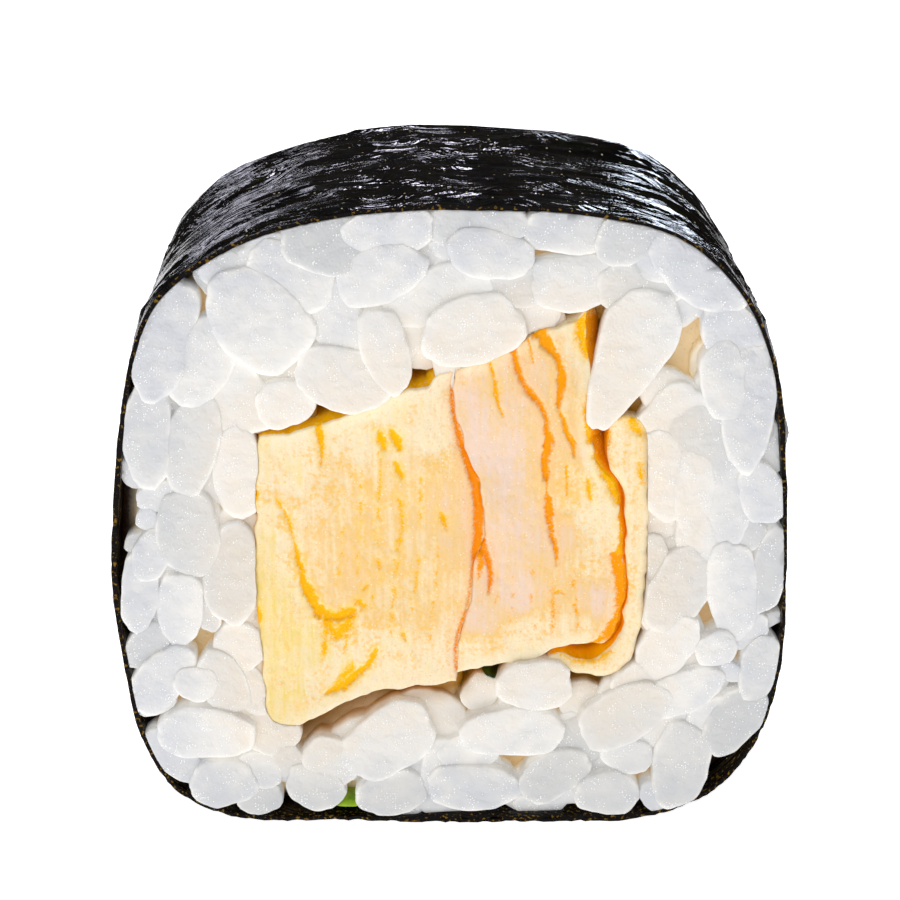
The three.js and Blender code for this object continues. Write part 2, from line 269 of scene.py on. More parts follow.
@dataclass(frozen=True)
class Viewpoint:
    """Where the photo was taken from, fitted to the outline of the cut face and the crown behind it."""

    x: float = -2.47
    y: float = -143.73
    z: float = 84.53
    turn: float = 1.026  # degrees to the right of straight ahead
    tilt: float = 22.0  # degrees below the horizon
    picture: float = 900.0  # side of the photo, pixels
    focal: float = 1973.1  # pixels
    sensor: float = 36.0  # width of a camera's sensor

    def axes(self) -> Array:
        """Gives the camera's unit vectors.

        Returns:
            A row each for right, up and ahead.
        """
        turn, tilt = math.radians(self.turn), math.radians(self.tilt)
        ahead = (math.sin(turn) * math.cos(tilt), math.cos(turn) * math.cos(tilt), -math.sin(tilt))
        right = (math.cos(turn), -math.sin(turn), 0.0)
        return np.array([right, np.cross(right, ahead), ahead])

    def on_plane(self, pixels: Array, y: Array | float) -> Array:
        """Finds what lies behind pixels of the photo, where the line of sight crosses an upright plane.

        Args:
            pixels: across and down, a row for each place.
            y: where the plane stands, one for all or one for each.

        Returns:
            The x and z of each place.
        """
        pixels = np.asarray(pixels, float)
        middle = self.picture / 2
        sight = np.column_stack([(pixels[:, 0] - middle) / self.focal, (middle - pixels[:, 1]) / self.focal,
                                 np.ones(len(pixels))]) @ self.axes()
        reach = (y - self.y) / sight[:, 1]
        return np.column_stack([self.x + sight[:, 0] * reach, self.z + sight[:, 2] * reach])

    def camera(self) -> Object:
        """Makes the camera.

        Returns:
            The camera, linked to the scene and made its own.
        """
        lens = bpy.data.cameras.new("camera")
        lens.sensor_fit = "HORIZONTAL"
        lens.sensor_width = self.sensor
        lens.lens = self.focal / self.picture * self.sensor
        lens.clip_start, lens.clip_end = 0.01, 100
        eye = linked("camera", lens)
        eye.location = (self.x * MM, self.y * MM, self.z * MM)
        eye.rotation_euler = (math.radians(90 - self.tilt), 0, -math.radians(self.turn))
        bpy.context.scene.camera = eye
        return eye


# ---------------------------------------------------------------- meshes and materials


@dataclass
class Surface:
    """A closed surface in the making: its places, its four- and three-sided faces, and its values."""

    places: Array
    quads: Array
    triangles: Array = field(default_factory=lambda: np.empty((0, 3), int))
    values: dict[str, Array] = field(default_factory=dict)

    def joined(self, other: "Surface") -> "Surface":
        """Gives this surface and another as one, with the values that both have."""
        shift = len(self.places)
        return Surface(
            np.vstack([self.places, other.places]),
            np.vstack([self.quads, other.quads + shift]),
            np.vstack([self.triangles, other.triangles + shift]),
            {name: np.concatenate([value, other.values[name]])
             for name, value in self.values.items() if name in other.values},
        )

    def piece(self, name: str, material: Material, sharp: float = 180) -> Object:
        """Makes the Blender object, at the origin with its place in its mesh.

        Args:
            name: the piece's name.
            material: its finish.
            sharp: degrees between two faces from which their edge isn't shaded smooth.

        Returns:
            The object.
        """
        mesh = bpy.data.meshes.new(name)
        corners = np.concatenate([self.quads.ravel(), self.triangles.ravel()]).astype(np.int32)
        starts = np.concatenate([np.arange(len(self.quads)) * 4,
                                 len(self.quads) * 4 + np.arange(len(self.triangles)) * 3]).astype(np.int32)
        mesh.vertices.add(len(self.places))
        mesh.vertices.foreach_set("co", (self.places * MM).astype(np.float32).ravel())
        mesh.loops.add(len(corners))
        mesh.loops.foreach_set("vertex_index", corners)
        mesh.polygons.add(len(starts))
        mesh.polygons.foreach_set("loop_start", starts)
        mesh.polygons.foreach_set("use_smooth", np.ones(len(starts), bool))
        mesh.update(calc_edges=True)
        mesh.validate()
        for value_name, value in self.values.items():
            attribute = mesh.attributes.new(value_name, "FLOAT", "POINT")
            attribute.data.foreach_set("value", value.astype(np.float32))
        if sharp < 180:
            mesh.set_sharp_from_angle(angle=math.radians(sharp))
        mesh.materials.append(material)
        LOG.info("%s: %d places, %d faces", name, len(self.places), len(starts))
        return linked(name, mesh)


def grid_quads(rows: int, columns: int, wrap_rows: bool = False, wrap_columns: bool = False) -> Array:
    """Gives the faces of a grid of places that are numbered row by row.

    Args:
        rows: places from one end of a column to the other.
        columns: places in a row.
        wrap_rows: whether the last row leads back to the first.
        wrap_columns: whether the last column leads back to the first.

    Returns:
        Four place numbers for each face.
    """
    j = np.arange(rows if wrap_rows else rows - 1)[:, None]
    i = np.arange(columns if wrap_columns else columns - 1)[None, :]
    up, on = (j + 1) % rows, (i + 1) % columns
    here, above = j * columns, up * columns
    return np.stack([here + i, here + on, above + on, above + i], -1).reshape(-1, 4)


def stitch(fine: Array, coarse: Array) -> Array:
    """Gives the faces between a ring of places and the next one, which has half as many.

    Args:
        fine: place numbers of the first ring.
        coarse: place numbers of the second ring, whose first lies at the first of the first ring.

    Returns:
        Three place numbers for each face, turned as those of grid_quads are.
    """
    first, middle, last = fine[::2], fine[1::2], np.roll(fine[::2], -1)
    here, there = coarse, np.roll(coarse, -1)
    return np.vstack([np.column_stack(face) for face in
                      ((first, middle, here), (middle, there, here), (middle, last, there))])


def add(material: Material, kind: str, inputs: dict | tuple = (),
        stops: tuple[tuple[float, str], ...] = (), **settings: object) -> Node:
    """Adds a node to a material.

    Args:
        material: what it is added to.
        kind: the node's type, without ShaderNode in front.
        inputs: for a socket's name, its value, its sRGB hex colour, or what is linked to it. A node stands
            for its first output. A tuple gives the first sockets in their order, such as the factor and the
            two colours of a Mix, the value, the range and the new range of a MapRange, or the place, scale
            and detail of a noise.
        stops: for a colour ramp, the place and sRGB hex colour of each stop.
        settings: the node's own properties.

    Returns:
        The node.
    """
    node = material.node_tree.nodes.new("ShaderNode" + kind)
    for name, value in settings.items():
        setattr(node, name, value)
    if isinstance(inputs, dict):
        pairs = [(node.inputs[name], value) for name, value in inputs.items()]
    else:
        pairs = list(zip([socket for socket in node.inputs if socket.enabled], inputs))
    for socket, value in pairs:
        if isinstance(value, Node):
            value = next(output for output in value.outputs if output.enabled)
        if isinstance(value, NodeSocket):
            material.node_tree.links.new(value, socket)
        else:
            socket.default_value = linear(value) if isinstance(value, str) else value
    for number, (place, colour) in enumerate(stops):
        ramp = node.color_ramp.elements
        stop = ramp[number] if number < 2 else ramp.new(place)
        stop.position, stop.color = place, linear(colour)
    return node


def new_material(name: str) -> Material:
    """Makes an empty material with nodes.

    Args:
        name: of the material.

    Returns:
        The material.
    """
    material = bpy.data.materials.new(name)
    material.use_nodes = True
    material.node_tree.nodes.clear()
    return material


# ---------------------------------------------------------------- seaweed


@dataclass(frozen=True)
class ToastedSeaweed:
    """Toasted nori, pressed and dried from chopped seaweed: near black, olive and brown where it is thin.

    The moist rice has softened it, so that it clings in fine wet ridges whose crests shine. Its cut edge is
    brown, with gold specks painted on it as highlights, and bright sparkles are painted on its face.
    """

    black: str = "#060504"
    brown: str = "#130e05"
    olive: str = "#1a1c07"
    edge: str = "#0d0a05"
    # painted highlights: the gold specks on the cut edge
    edge_glint: str = "#94701f"
    # painted sparkles: bright dots that stand for glints on the wet sheet
    painted_sparkle: str = "#b5ae86"
    sheen: str = "#f1edff"
    roughness: float = 0.14
    ridge: float = 0.75  # between two of the fine ridges
    ridge_run: float = 12.0  # their length
    wave: float = 6.0  # how far they wander to the side
    wave_run: float = 8.0  # over this length
    fibre: float = 0.28  # the sheet's grain, as drawn: the real one is half as coarse
    patch: float = 3.0  # the brown and olive spots
    sparkle_pitch: float = 0.36  # between two painted sparkles, if all were there

    def make(self) -> Material:
        """Makes the material, which reads the sheet's own map in centimetres and its cut.

        Returns:
            The material.
        """
        m = new_material("toasted_seaweed")
        sheet = add(m, "UVMap", uv_map="sheet").outputs["UV"]
        cut = add(m, "Attribute", attribute_name="cut").outputs["Fac"]
        waves = add(m, "TexNoise", (sheet, 10 / self.wave_run, 1), noise_dimensions="2D")
        waved = add(m, "VectorMath", (waves.outputs["Color"], (0, self.wave / 10, 0), sheet),
                    operation="MULTIPLY_ADD")
        stretched = add(m, "Mapping", {"Vector": waved, "Scale": (10 / self.ridge_run, 10 / self.ridge, 1)})
        even = add(m, "Mapping", {"Vector": sheet, "Scale": (10 / self.fibre, 10 / self.fibre, 1)})
        spots = add(m, "Mapping", {"Vector": sheet, "Scale": (4 / self.patch, 10 / self.patch, 1)})
        ridges = add(m, "TexNoise", {
            "Vector": stretched, "Scale": 1, "Detail": 2, "Roughness": 0.5,
            "Distortion": 0.9}, noise_dimensions="2D")
        fibres = add(m, "TexNoise", (even, 1, 1), noise_dimensions="2D")
        tints = add(m, "TexNoise", (spots, 1, 6, 0.7), noise_dimensions="2D")
        flesh = add(m, "ValToRGB", {"Fac": tints},
                    ((0.42, self.black), (0.54, self.brown), (0.6, self.black), (0.68, self.olive)))
        # Painted sparkles: a few bright dots mixed into the colour, standing for glints.
        dots = add(m, "TexVoronoi", {"Vector": sheet, "Scale": 10 / self.sparkle_pitch}, voronoi_dimensions="2D")
        chance = add(m, "SeparateColor", {"Color": dots.outputs["Color"]})
        few = add(m, "Math", (chance, 0.05), operation="LESS_THAN")
        dot = add(m, "MapRange", (dots, 0.1, 0.24, 1, 0))
        painted_sparkle = add(m, "Math", (dot, few), operation="MULTIPLY")
        with_sparkle = add(m, "Mix", (painted_sparkle, flesh, self.painted_sparkle), data_type="RGBA")
        # Painted highlights on the cut edge: gold specks where a fine noise is high.
        where = add(m, "TexCoord").outputs["Object"]
        crumbs = add(m, "TexNoise", (where, 1 / (0.3 * MM), 1))
        frayed = add(m, "MapRange", (crumbs, 0.58, 0.7, 0, 0.7))
        edge = add(m, "Mix", (frayed, self.edge, self.edge_glint), data_type="RGBA")
        colour = add(m, "Mix", (cut, with_sparkle, edge), data_type="RGBA")
        both = add(m, "Math", (ridges, 14, fibres), operation="MULTIPLY_ADD")
        bump = add(m, "Bump", {"Height": both, "Strength": 1.0, "Distance": 0.02 * MM})
        shine = add(m, "MapRange", (cut, 0, 1, 0.5, 0.06))
        shader = add(m, "BsdfPrincipled", {
            "Base Color": colour, "Roughness": self.roughness, "IOR": 1.5, "Specular IOR Level": shine,
            "Specular Tint": self.sheen, "Normal": bump})
        add(m, "OutputMaterial", {"Surface": shader})
        return m


@dataclass
class SeaweedSheet:
    """One sheet of seaweed, rolled once round with its two ends lapped over each other along the base."""

    outline: RollOutline
    around: int = 520  # places along the sheet's length
    along: int = 140  # from the front cut edge to the back one, on the outer face
    lining: int = 12  # the same on the inner face
    fold: float = 0.62  # height of the wrinkles
    thinnest: float = 0.1  # share of its thickness left at the flap's end
    ragged: float = 0.2  # how far the cut edges run in

    def sections(self) -> tuple[Array, Array, Array]:
        """Works out the sheet along its length.

        From the tucked end the sheet runs against the outline's direction, one layer in, comes out as the
        flap under it thins, and ends under its own start.

        Returns:
            How far round the outline each place is, how deep its outer face lies in it, and how thick it is.
        """
        lap = TUCKED_END - FLAP_END
        run = np.linspace(0, self.outline.length + lap, self.around)
        depth = SHEET * (1 - smoothstep(lap - FLAP_TAPER, lap, run))
        thick = SHEET * np.maximum(smoothstep(0, FLAP_TAPER, run[-1] - run), self.thinnest)
        return TUCKED_END - run, depth, thick

    def wrinkles(self, place: Array, y: Array, out: Array) -> Array:
        """Works out how far the sheet stands out, by ridges that run round the roll and wander along it.

        Each ridge is a power of one less the size of a noise that is stretched along the roll's round,
        which has a sharp crest at the noise's zeros. Three sizes are added to a slow swell, and all fade on
        the base, where the roll's weight presses them flat.

        Args:
            place: how far round the roll each place is.
            y: how far along it.
            out: the outward normals of the outline.

        Returns:
            The rise of each place.
        """
        wander = y + 2.2 * Noise(3).at(place / 9, y / 9) + 0.4 * Noise(13).at(place / 3.2, y / 3)
        broad = 1 - np.abs(Noise(4).at(place / 14, wander / 2.4))
        middle = 1 - np.abs(Noise(5).at(place / 8, (wander + 0.1 * place) / 1.1))
        fine = 1 - np.abs(Noise(6).at(place / 4.5, (wander - 0.1 * place) / 0.55))
        swell = Noise(7).at(place / 10, y / 6)
        clear = smoothstep(-0.9, -0.3, out[..., 1])
        rise = 0.5 * broad**3 + 0.34 * middle**3 + 0.12 * fine**2 + 0.14 * swell - 0.22
        return self.fold * clear * rise

    def build(self, material: Material) -> Object:
        """Builds the sheet as one ring of places carried along its length, with both ends closed.

        Args:
            material: its finish.

        Returns:
            The piece.
        """
        place, depth, thick = self.sections()
        point, out = self.outline.at(place)
        tears = Noise(8).at(place / 0.9, place * 0) + 0.6 * Noise(9).at(place / 0.4, place * 0)
        edge = self.ragged * np.abs(tears)
        share = np.concatenate([np.linspace(-1, 1, self.along), np.linspace(1, -1, self.lining)])
        y = share[None, :] * (HALF - edge[:, None])
        outer = np.arange(len(share)) < self.along
        rise = self.wrinkles(place[:, None] + 0 * y, y, np.broadcast_to(out[:, None, :], (*y.shape, 2)))
        rise *= np.where(outer, smoothstep(0, 0.6, HALF - np.abs(y)) * 0.7 + 0.3, 0)
        inset = depth[:, None] - rise + np.where(outer[None, :], 0, thick[:, None])
        flat = point[:, None, :] - out[:, None, :] * inset[..., None]
        places = np.stack([flat[..., 0], y, np.maximum(flat[..., 1], 0)], -1)
        ring = len(share)
        cut = np.broadcast_to(np.abs(share) > 0.999, y.shape).ravel()
        surface = Surface(places.reshape(-1, 3), grid_quads(self.around, ring, wrap_columns=True)[:, ::-1],
                          values={"cut": cut.astype(float)})
        surface.triangles = self.end_caps(ring)
        made = surface.piece("nori_sheet", material, sharp=60)
        self.map_sheet(made, place, y)
        return made

    def end_caps(self, ring: int) -> Array:
        """Closes the sheet's ends: each place of the outer row is joined to its nearest of the inner one.

        Args:
            ring: places in each row.

        Returns:
            Three place numbers for each face.
        """
        outer = np.arange(self.along)
        step = np.round(outer / (self.along - 1) * (self.lining - 1)).astype(int)
        inner = self.along + self.lining - 1 - step
        a, b, c, d = outer[:-1], outer[1:], inner[1:], inner[:-1]
        split = c != d
        first = np.vstack([np.column_stack([a, b, c]), np.column_stack([a, c, d])[split]])
        last = first[:, ::-1] + (self.around - 1) * ring
        return np.vstack([first, last])

    def map_sheet(self, made: Object, place: Array, y: Array) -> None:
        """Gives the piece its own map: how far round and how far along each place is, in centimetres.

        Args:
            made: the piece.
            place: how far round each row is.
            y: how far along each place is.
        """
        flat = np.stack([np.broadcast_to(place[:, None], y.shape), y], -1).reshape(-1, 2) / 10
        layer = made.data.uv_layers.new(name="sheet")
        corners = np.empty(len(made.data.loops), np.int32)
        made.data.loops.foreach_get("vertex_index", corners)
        layer.data.foreach_set("uv", flat[corners].astype(np.float32).ravel())


# ---------------------------------------------------------------- rice


class Layer(Enum):
    """How far the flat of a grain lies behind that of the foremost ones, in mm."""

    PROUD = 0.0  # it lies over the omelette's edge too
    FRONT = 0.18
    MIDDLE = 0.45
    DEEP = 1.0


@dataclass(frozen=True)
class CookedRice:
    """Cooked short-grain rice: swollen, moist and translucent. Its rims are painted brighter and given a
    painted glow, so its flats look greyer, and all its flesh has a faint painted glow for light come through
    the grains.

    White dots are painted on its skin as glints, and its gaps have painted shade: tan, golden by the omelette
    and near black by the seaweed.
    """

    cool: str = "#bec0c4"  # painted shade by the seaweed
    white: str = "#d5d3cf"
    warm: str = "#dacfbf"  # painted light thrown back by the omelette
    clear: str = "#adafb0"  # the glassiest grains
    # painted rim light: the brighter colour of the rims
    rim: str = "#dfddd8"
    # painted glints: white dots on the moist skin
    point: str = "#ffffff"
    # painted shade of the deep gaps: tan, golden by the omelette and near black by the seaweed
    gap: str = "#eedbb5"
    gap_shade_by_omelette: str = "#96680c"
    gap_shade_by_seaweed: str = "#241407"
    roughness: float = 0.4
    reach: float = 0.4  # how far light runs in it
    painted_glow: float = 0.22  # painted glow that the flesh gives off, standing in for light come through the grains
    painted_rim_glow: float = 0.05  # painted glow that a rim gives off besides
    glow_lost_in_gaps: float = 0.5  # share of the painted glow taken out in the deep gaps, as painted shade
    pitch: float = 0.2  # between two of the painted glints, as drawn: the real ones are finer

    def make(self) -> Material:
        """Makes the material, which reads the piece's own tone, clear, rim, gap, by_omelette and by_seaweed.

        Returns:
            The material.
        """
        m = new_material("cooked_rice")
        where = add(m, "TexCoord").outputs["Object"]
        tone, clear, rim, gap, by_omelette, by_seaweed = (
            add(m, "Attribute", attribute_name=name).outputs["Fac"]
            for name in ("tone", "clear", "rim", "gap", "by_omelette", "by_seaweed"))
        clouds = add(m, "TexNoise", (where, 1 / (1.8 * MM), 3))
        shift = add(m, "MapRange", (clouds, 0.3, 0.7, -0.14, 0.14))
        shifted = add(m, "Math", (shift, tone), operation="ADD")
        # The flesh runs from painted shade by the seaweed, through white, to painted light thrown back by the
        # omelette.
        flesh = add(m, "ValToRGB", {"Fac": shifted}, ((0, self.cool), (1, self.warm), (0.45, self.white)))
        glassy = add(m, "Mix", (clear, flesh, self.clear), data_type="RGBA")
        # Painted rim light: the rims, broken up by the clouds, are mixed toward a brighter colour and glow.
        broken = add(m, "MapRange", (clouds, 0.4, 0.62, 0.1, 0.9))
        glow = add(m, "Math", (rim, broken), operation="MULTIPLY")
        rimmed = add(m, "Mix", (glow, glassy, self.rim), data_type="RGBA")
        # Painted glints: white dots in crowded patches, a little raised and smoother.
        points = add(m, "TexVoronoi", {"Vector": where, "Scale": 1 / (self.pitch * MM)})
        chance = add(m, "SeparateColor", {"Color": points.outputs["Color"]})
        crowd = add(m, "TexNoise", (where, 1 / (1.1 * MM), 1))
        share = add(m, "MapRange", (crowd, 0.46, 0.66, 0.02, 0.9))
        there = add(m, "Math", (chance, share), operation="LESS_THAN")
        dot = add(m, "MapRange", (points, 0.14, 0.34, 1, 0))
        glint = add(m, "Math", (dot, there), operation="MULTIPLY")
        moist = add(m, "Mix", (glint, rimmed, self.point), data_type="RGBA")
        # Painted shade in the deep gaps: tan, golden by the omelette and near black by the seaweed.
        golden = add(m, "Mix", (by_omelette, self.gap, self.gap_shade_by_omelette), data_type="RGBA")
        shaded = add(m, "Mix", (by_seaweed, golden, self.gap_shade_by_seaweed), data_type="RGBA")
        colour = add(m, "Mix", (gap, moist, shaded), data_type="RGBA")
        skin = add(m, "TexNoise", (where, 1 / (0.2 * MM), 0))
        dents = add(m, "TexNoise", (where, 1 / (1.1 * MM), 1))
        height = add(m, "Math", (dents, 5, skin), operation="MULTIPLY_ADD")
        raised = add(m, "Math", (glint, 1.2, height), operation="MULTIPLY_ADD")
        bump = add(m, "Bump", {"Height": raised, "Strength": 1.0, "Distance": 0.03 * MM})
        rough = add(m, "MapRange", (glint, 0, 1, self.roughness, self.roughness - 0.2))
        # Painted glow: the flesh gives off light in its own colour, more on the rims and less in the deep
        # gaps.
        dark = add(m, "Math", (gap, self.glow_lost_in_gaps), operation="MULTIPLY")
        lit = add(m, "Math", (1, dark), operation="SUBTRACT")
        by_rim = add(m, "Math", (glow, self.painted_rim_glow, self.painted_glow), operation="MULTIPLY_ADD")
        glimmer = add(m, "Math", (by_rim, lit), operation="MULTIPLY")
        shader = add(m, "BsdfPrincipled", {
            "Base Color": colour, "Roughness": rough, "IOR": 1.38, "Subsurface Weight": 0.3,
            "Subsurface Radius": (1.0, 0.95, 0.88), "Subsurface Scale": self.reach * MM, "Normal": bump,
            "Emission Color": colour, "Emission Strength": glimmer})
        add(m, "OutputMaterial", {"Surface": shader})
        m.cycles.emission_sampling = "NONE"
        return m


@dataclass(frozen=True)
class Grain:
    """A grain that the photo shows: its middle, length and width in the photo's pixels, and how it lies."""

    across: float
    down: float
    long: float
    wide: float
    turn: float  # degrees from level, rising to the right
    layer: Layer = Layer.FRONT
    taper: float = 0.0  # share by which its upper end is narrower than its middle
    square: float = 2.35  # exponent of its outline: 2 is an ellipse, and a higher one is boxier


# The grains, place by place round the cut face, each with the measures of Grain in their order.
P, M, D = Layer.PROUD, Layer.MIDDLE, Layer.DEEP
UPPER_LEFT = (
    (163, 340, 118, 58, 74), (203, 364, 92, 54, 62), (258, 322, 110, 80, -47, P), (290, 279, 84, 58, -30),
    (245, 262, 90, 42, 25, M), (212, 280, 40, 28, -60, D), (327, 246, 84, 54, -10), (388, 232, 84, 44, 5),
    (476, 228, 98, 40, 0, M), (490, 255, 80, 46, -10), (380, 276, 88, 52, 25), (437, 266, 56, 44, -20, D),
    (438, 296, 110, 48, 22, M), (505, 285, 80, 44, -5, M), (473, 332, 96, 66, 20, P),
    (385, 352, 80, 46, -77, P), (345, 380, 92, 62, -10, P), (335, 318, 75, 52, -60, M),
    (285, 405, 58, 46, 10), (235, 398, 84, 60, -60, M), (275, 378, 56, 34, 0, D), (216, 263, 44, 28, 15, M),
    (313, 350, 50, 44, 20, D), (422, 340, 60, 60, 30, D),
)
UPPER_RIGHT = (
    (568, 232, 84, 42, -3, M), (630, 240, 66, 46, 12), (650, 263, 90, 34, -5, M), (702, 272, 108, 60, -38),
    (733, 334, 68, 50, -45, M), (752, 325, 50, 36, -60, D), (750, 408, 124, 50, 86),
    (628, 361, 144, 62, 68, P, -0.35), (572, 284, 84, 52, 5, M), (640, 288, 84, 48, -5, M),
    (724, 382, 76, 44, -80), (672, 425, 84, 60, 60, M), (706, 440, 84, 56, -40, M),
    (696, 303, 44, 24, -30, D), (540, 318, 50, 36, 15, D), (772, 448, 54, 24, -78, D),
)
LEFT = (
    (147, 437, 100, 48, 86), (130, 476, 30, 18, -60, D), (192, 448, 96, 52, 78), (237, 474, 92, 46, 88, M),
    (188, 535, 88, 62, 90), (152, 556, 56, 38, 60), (165, 498, 58, 30, 0, M), (147, 520, 24, 22, 0, M),
    (140, 545, 30, 24, 0, D), (231, 576, 98, 56, 88), (180, 610, 74, 48, 85), (206, 612, 46, 26, -75, M),
    (139, 594, 80, 38, 82), (146, 648, 56, 38, 55, M), (238, 651, 62, 50, 60, M), (161, 682, 86, 50, 55),
    (178, 400, 30, 22, 60, D), (240, 525, 40, 34, 0, D),
)
LOWER_LEFT = (
    (223, 684, 72, 46, -65), (196, 685, 46, 36, -15, P), (255, 694, 52, 30, -75, M),
    (272, 733, 56, 50, -30, M), (205, 735, 104, 55, -2, P), (155, 705, 42, 24, 25, M),
    (223, 785, 68, 54, 15), (174, 758, 78, 34, -48, M), (260, 771, 50, 36, -20, M),
    (261, 801, 46, 32, 20, M), (315, 789, 64, 46, -25), (330, 763, 60, 48, -50), (290, 765, 52, 32, -70, M),
)
BELOW = (
    (388, 743, 98, 68, 38, P, 0, 2.9), (392, 795, 72, 48, 15), (412, 806, 42, 22, 25, D),
    (473, 789, 96, 52, 0), (440, 768, 66, 40, 80, M), (513, 734, 104, 55, 0, P), (535, 687, 80, 50, 3, P),
    (554, 777, 80, 48, 35), (432, 716, 70, 52, -30, D), (480, 693, 40, 36, 60, D), (540, 805, 56, 26, 5, D),
    (470, 752, 70, 40, 10, M), (583, 700, 40, 50, 80, D),
)
RIGHT = (
    (763, 495, 62, 46, -75), (769, 573, 92, 36, 82), (733, 592, 105, 50, -85), (727, 505, 84, 44, -80, M),
    (745, 535, 44, 30, -20, M), (664, 478, 96, 50, -80, M), (694, 492, 92, 42, -88, M),
    (680, 590, 88, 62, 65), (655, 585, 100, 44, -84, M), (744, 632, 52, 38, 20, M),
    (700, 545, 70, 44, -70, M), (664, 535, 80, 46, 88, D),
)
LOWER_RIGHT = (
    (624, 717, 98, 60, 30, P), (682, 694, 90, 46, 22), (608, 795, 66, 50, -15), (628, 757, 56, 36, -20, M),
    (653, 798, 38, 24, -60, M), (681, 767, 92, 60, 80), (760, 670, 72, 40, 78), (735, 722, 80, 52, 55),
    (714, 720, 60, 44, 35, M), (717, 650, 44, 36, 20, P), (731, 673, 28, 20, -30, M), (668, 648, 74, 54, 60),
    (640, 682, 60, 42, 30, M), (572, 735, 50, 40, -80, D), (772, 620, 24, 14, 30, D),
    (700, 672, 44, 30, 60, D), (592, 752, 50, 36, 20, D),
)
SHOWN_GRAINS = tuple(Grain(*measures) for measures in (
    UPPER_LEFT + UPPER_RIGHT + LEFT + LOWER_LEFT + BELOW + RIGHT + LOWER_RIGHT))


# Where the photo looks past the front grains, in its pixels: across, down and reach.
OPENINGS = (
    (203, 300, 14), (203, 641, 16), (682, 350, 17), (424, 236, 5), (181, 398, 5), (164, 474, 6),
    (222, 431, 4), (246, 525, 8), (183, 706, 7), (312, 732, 14), (345, 708, 12), (286, 792, 6),
    (297, 812, 14), (322, 814, 12), (349, 806, 16), (130, 498, 10), (127, 552, 10), (124, 636, 7),
    (134, 673, 7), (144, 723, 8), (187, 793, 8), (236, 809, 7), (437, 738, 8), (515, 766, 8), (578, 694, 9),
    (643, 771, 10), (705, 609, 5), (728, 772, 18), (716, 752, 7), (774, 622, 10), (775, 692, 9),
    (740, 657, 7), (624, 668, 5), (668, 233, 6), (649, 815, 6), (491, 672, 13), (543, 250, 5), (732, 314, 5),
    (330, 409, 12), (420, 380, 12), (282, 238, 5), (596, 345, 6), (602, 410, 8), (330, 722, 12),
    (298, 742, 9), (372, 700, 7), (400, 694, 5), (349, 398, 5), (415, 384, 8), (345, 414, 4),
)


@dataclass(frozen=True)
class Bedding:
    """A layer of grains laid by rule: behind the shown ones, or on the slice's back."""

    pitch: float  # from one grain's middle to the next
    back: float  # how far the foremost of them lie back
    spread: float  # how much further back the others may lie
    margin: float  # from their middles to the seaweed
    seed: int  # for the shaking, sizes and turns
    cast_seed: int  # for the lumps
    side: int = -1  # the front of the slice, or 1 for its back
    openings: Spots = OPENINGS  # places that they leave clear


FRONT_BEDDINGS = (Bedding(3.0, 1.6, 0.5, 2.0, 42, 52), Bedding(2.8, 0.75, 0.35, 1.9, 41, 51))
BACK_BEDDINGS = (Bedding(3.6, 1.4, 0.7, 1.7, 44, 54, 1, ()), Bedding(4.0, 0.1, 0.8, 1.9, 43, 53, 1, ()))


@dataclass
class GrainLay:
    """Grains that lie in a cut face of the rice, a row for each."""

    middle: Array  # x and z
    half: Array  # half the length and half the width
    turn: Array  # radians from level
    back: Array  # how far the flat of each lies behind that of the foremost ones
    taper: Array
    square: Array
    proud: Array  # whether each lies over the omelette's edge


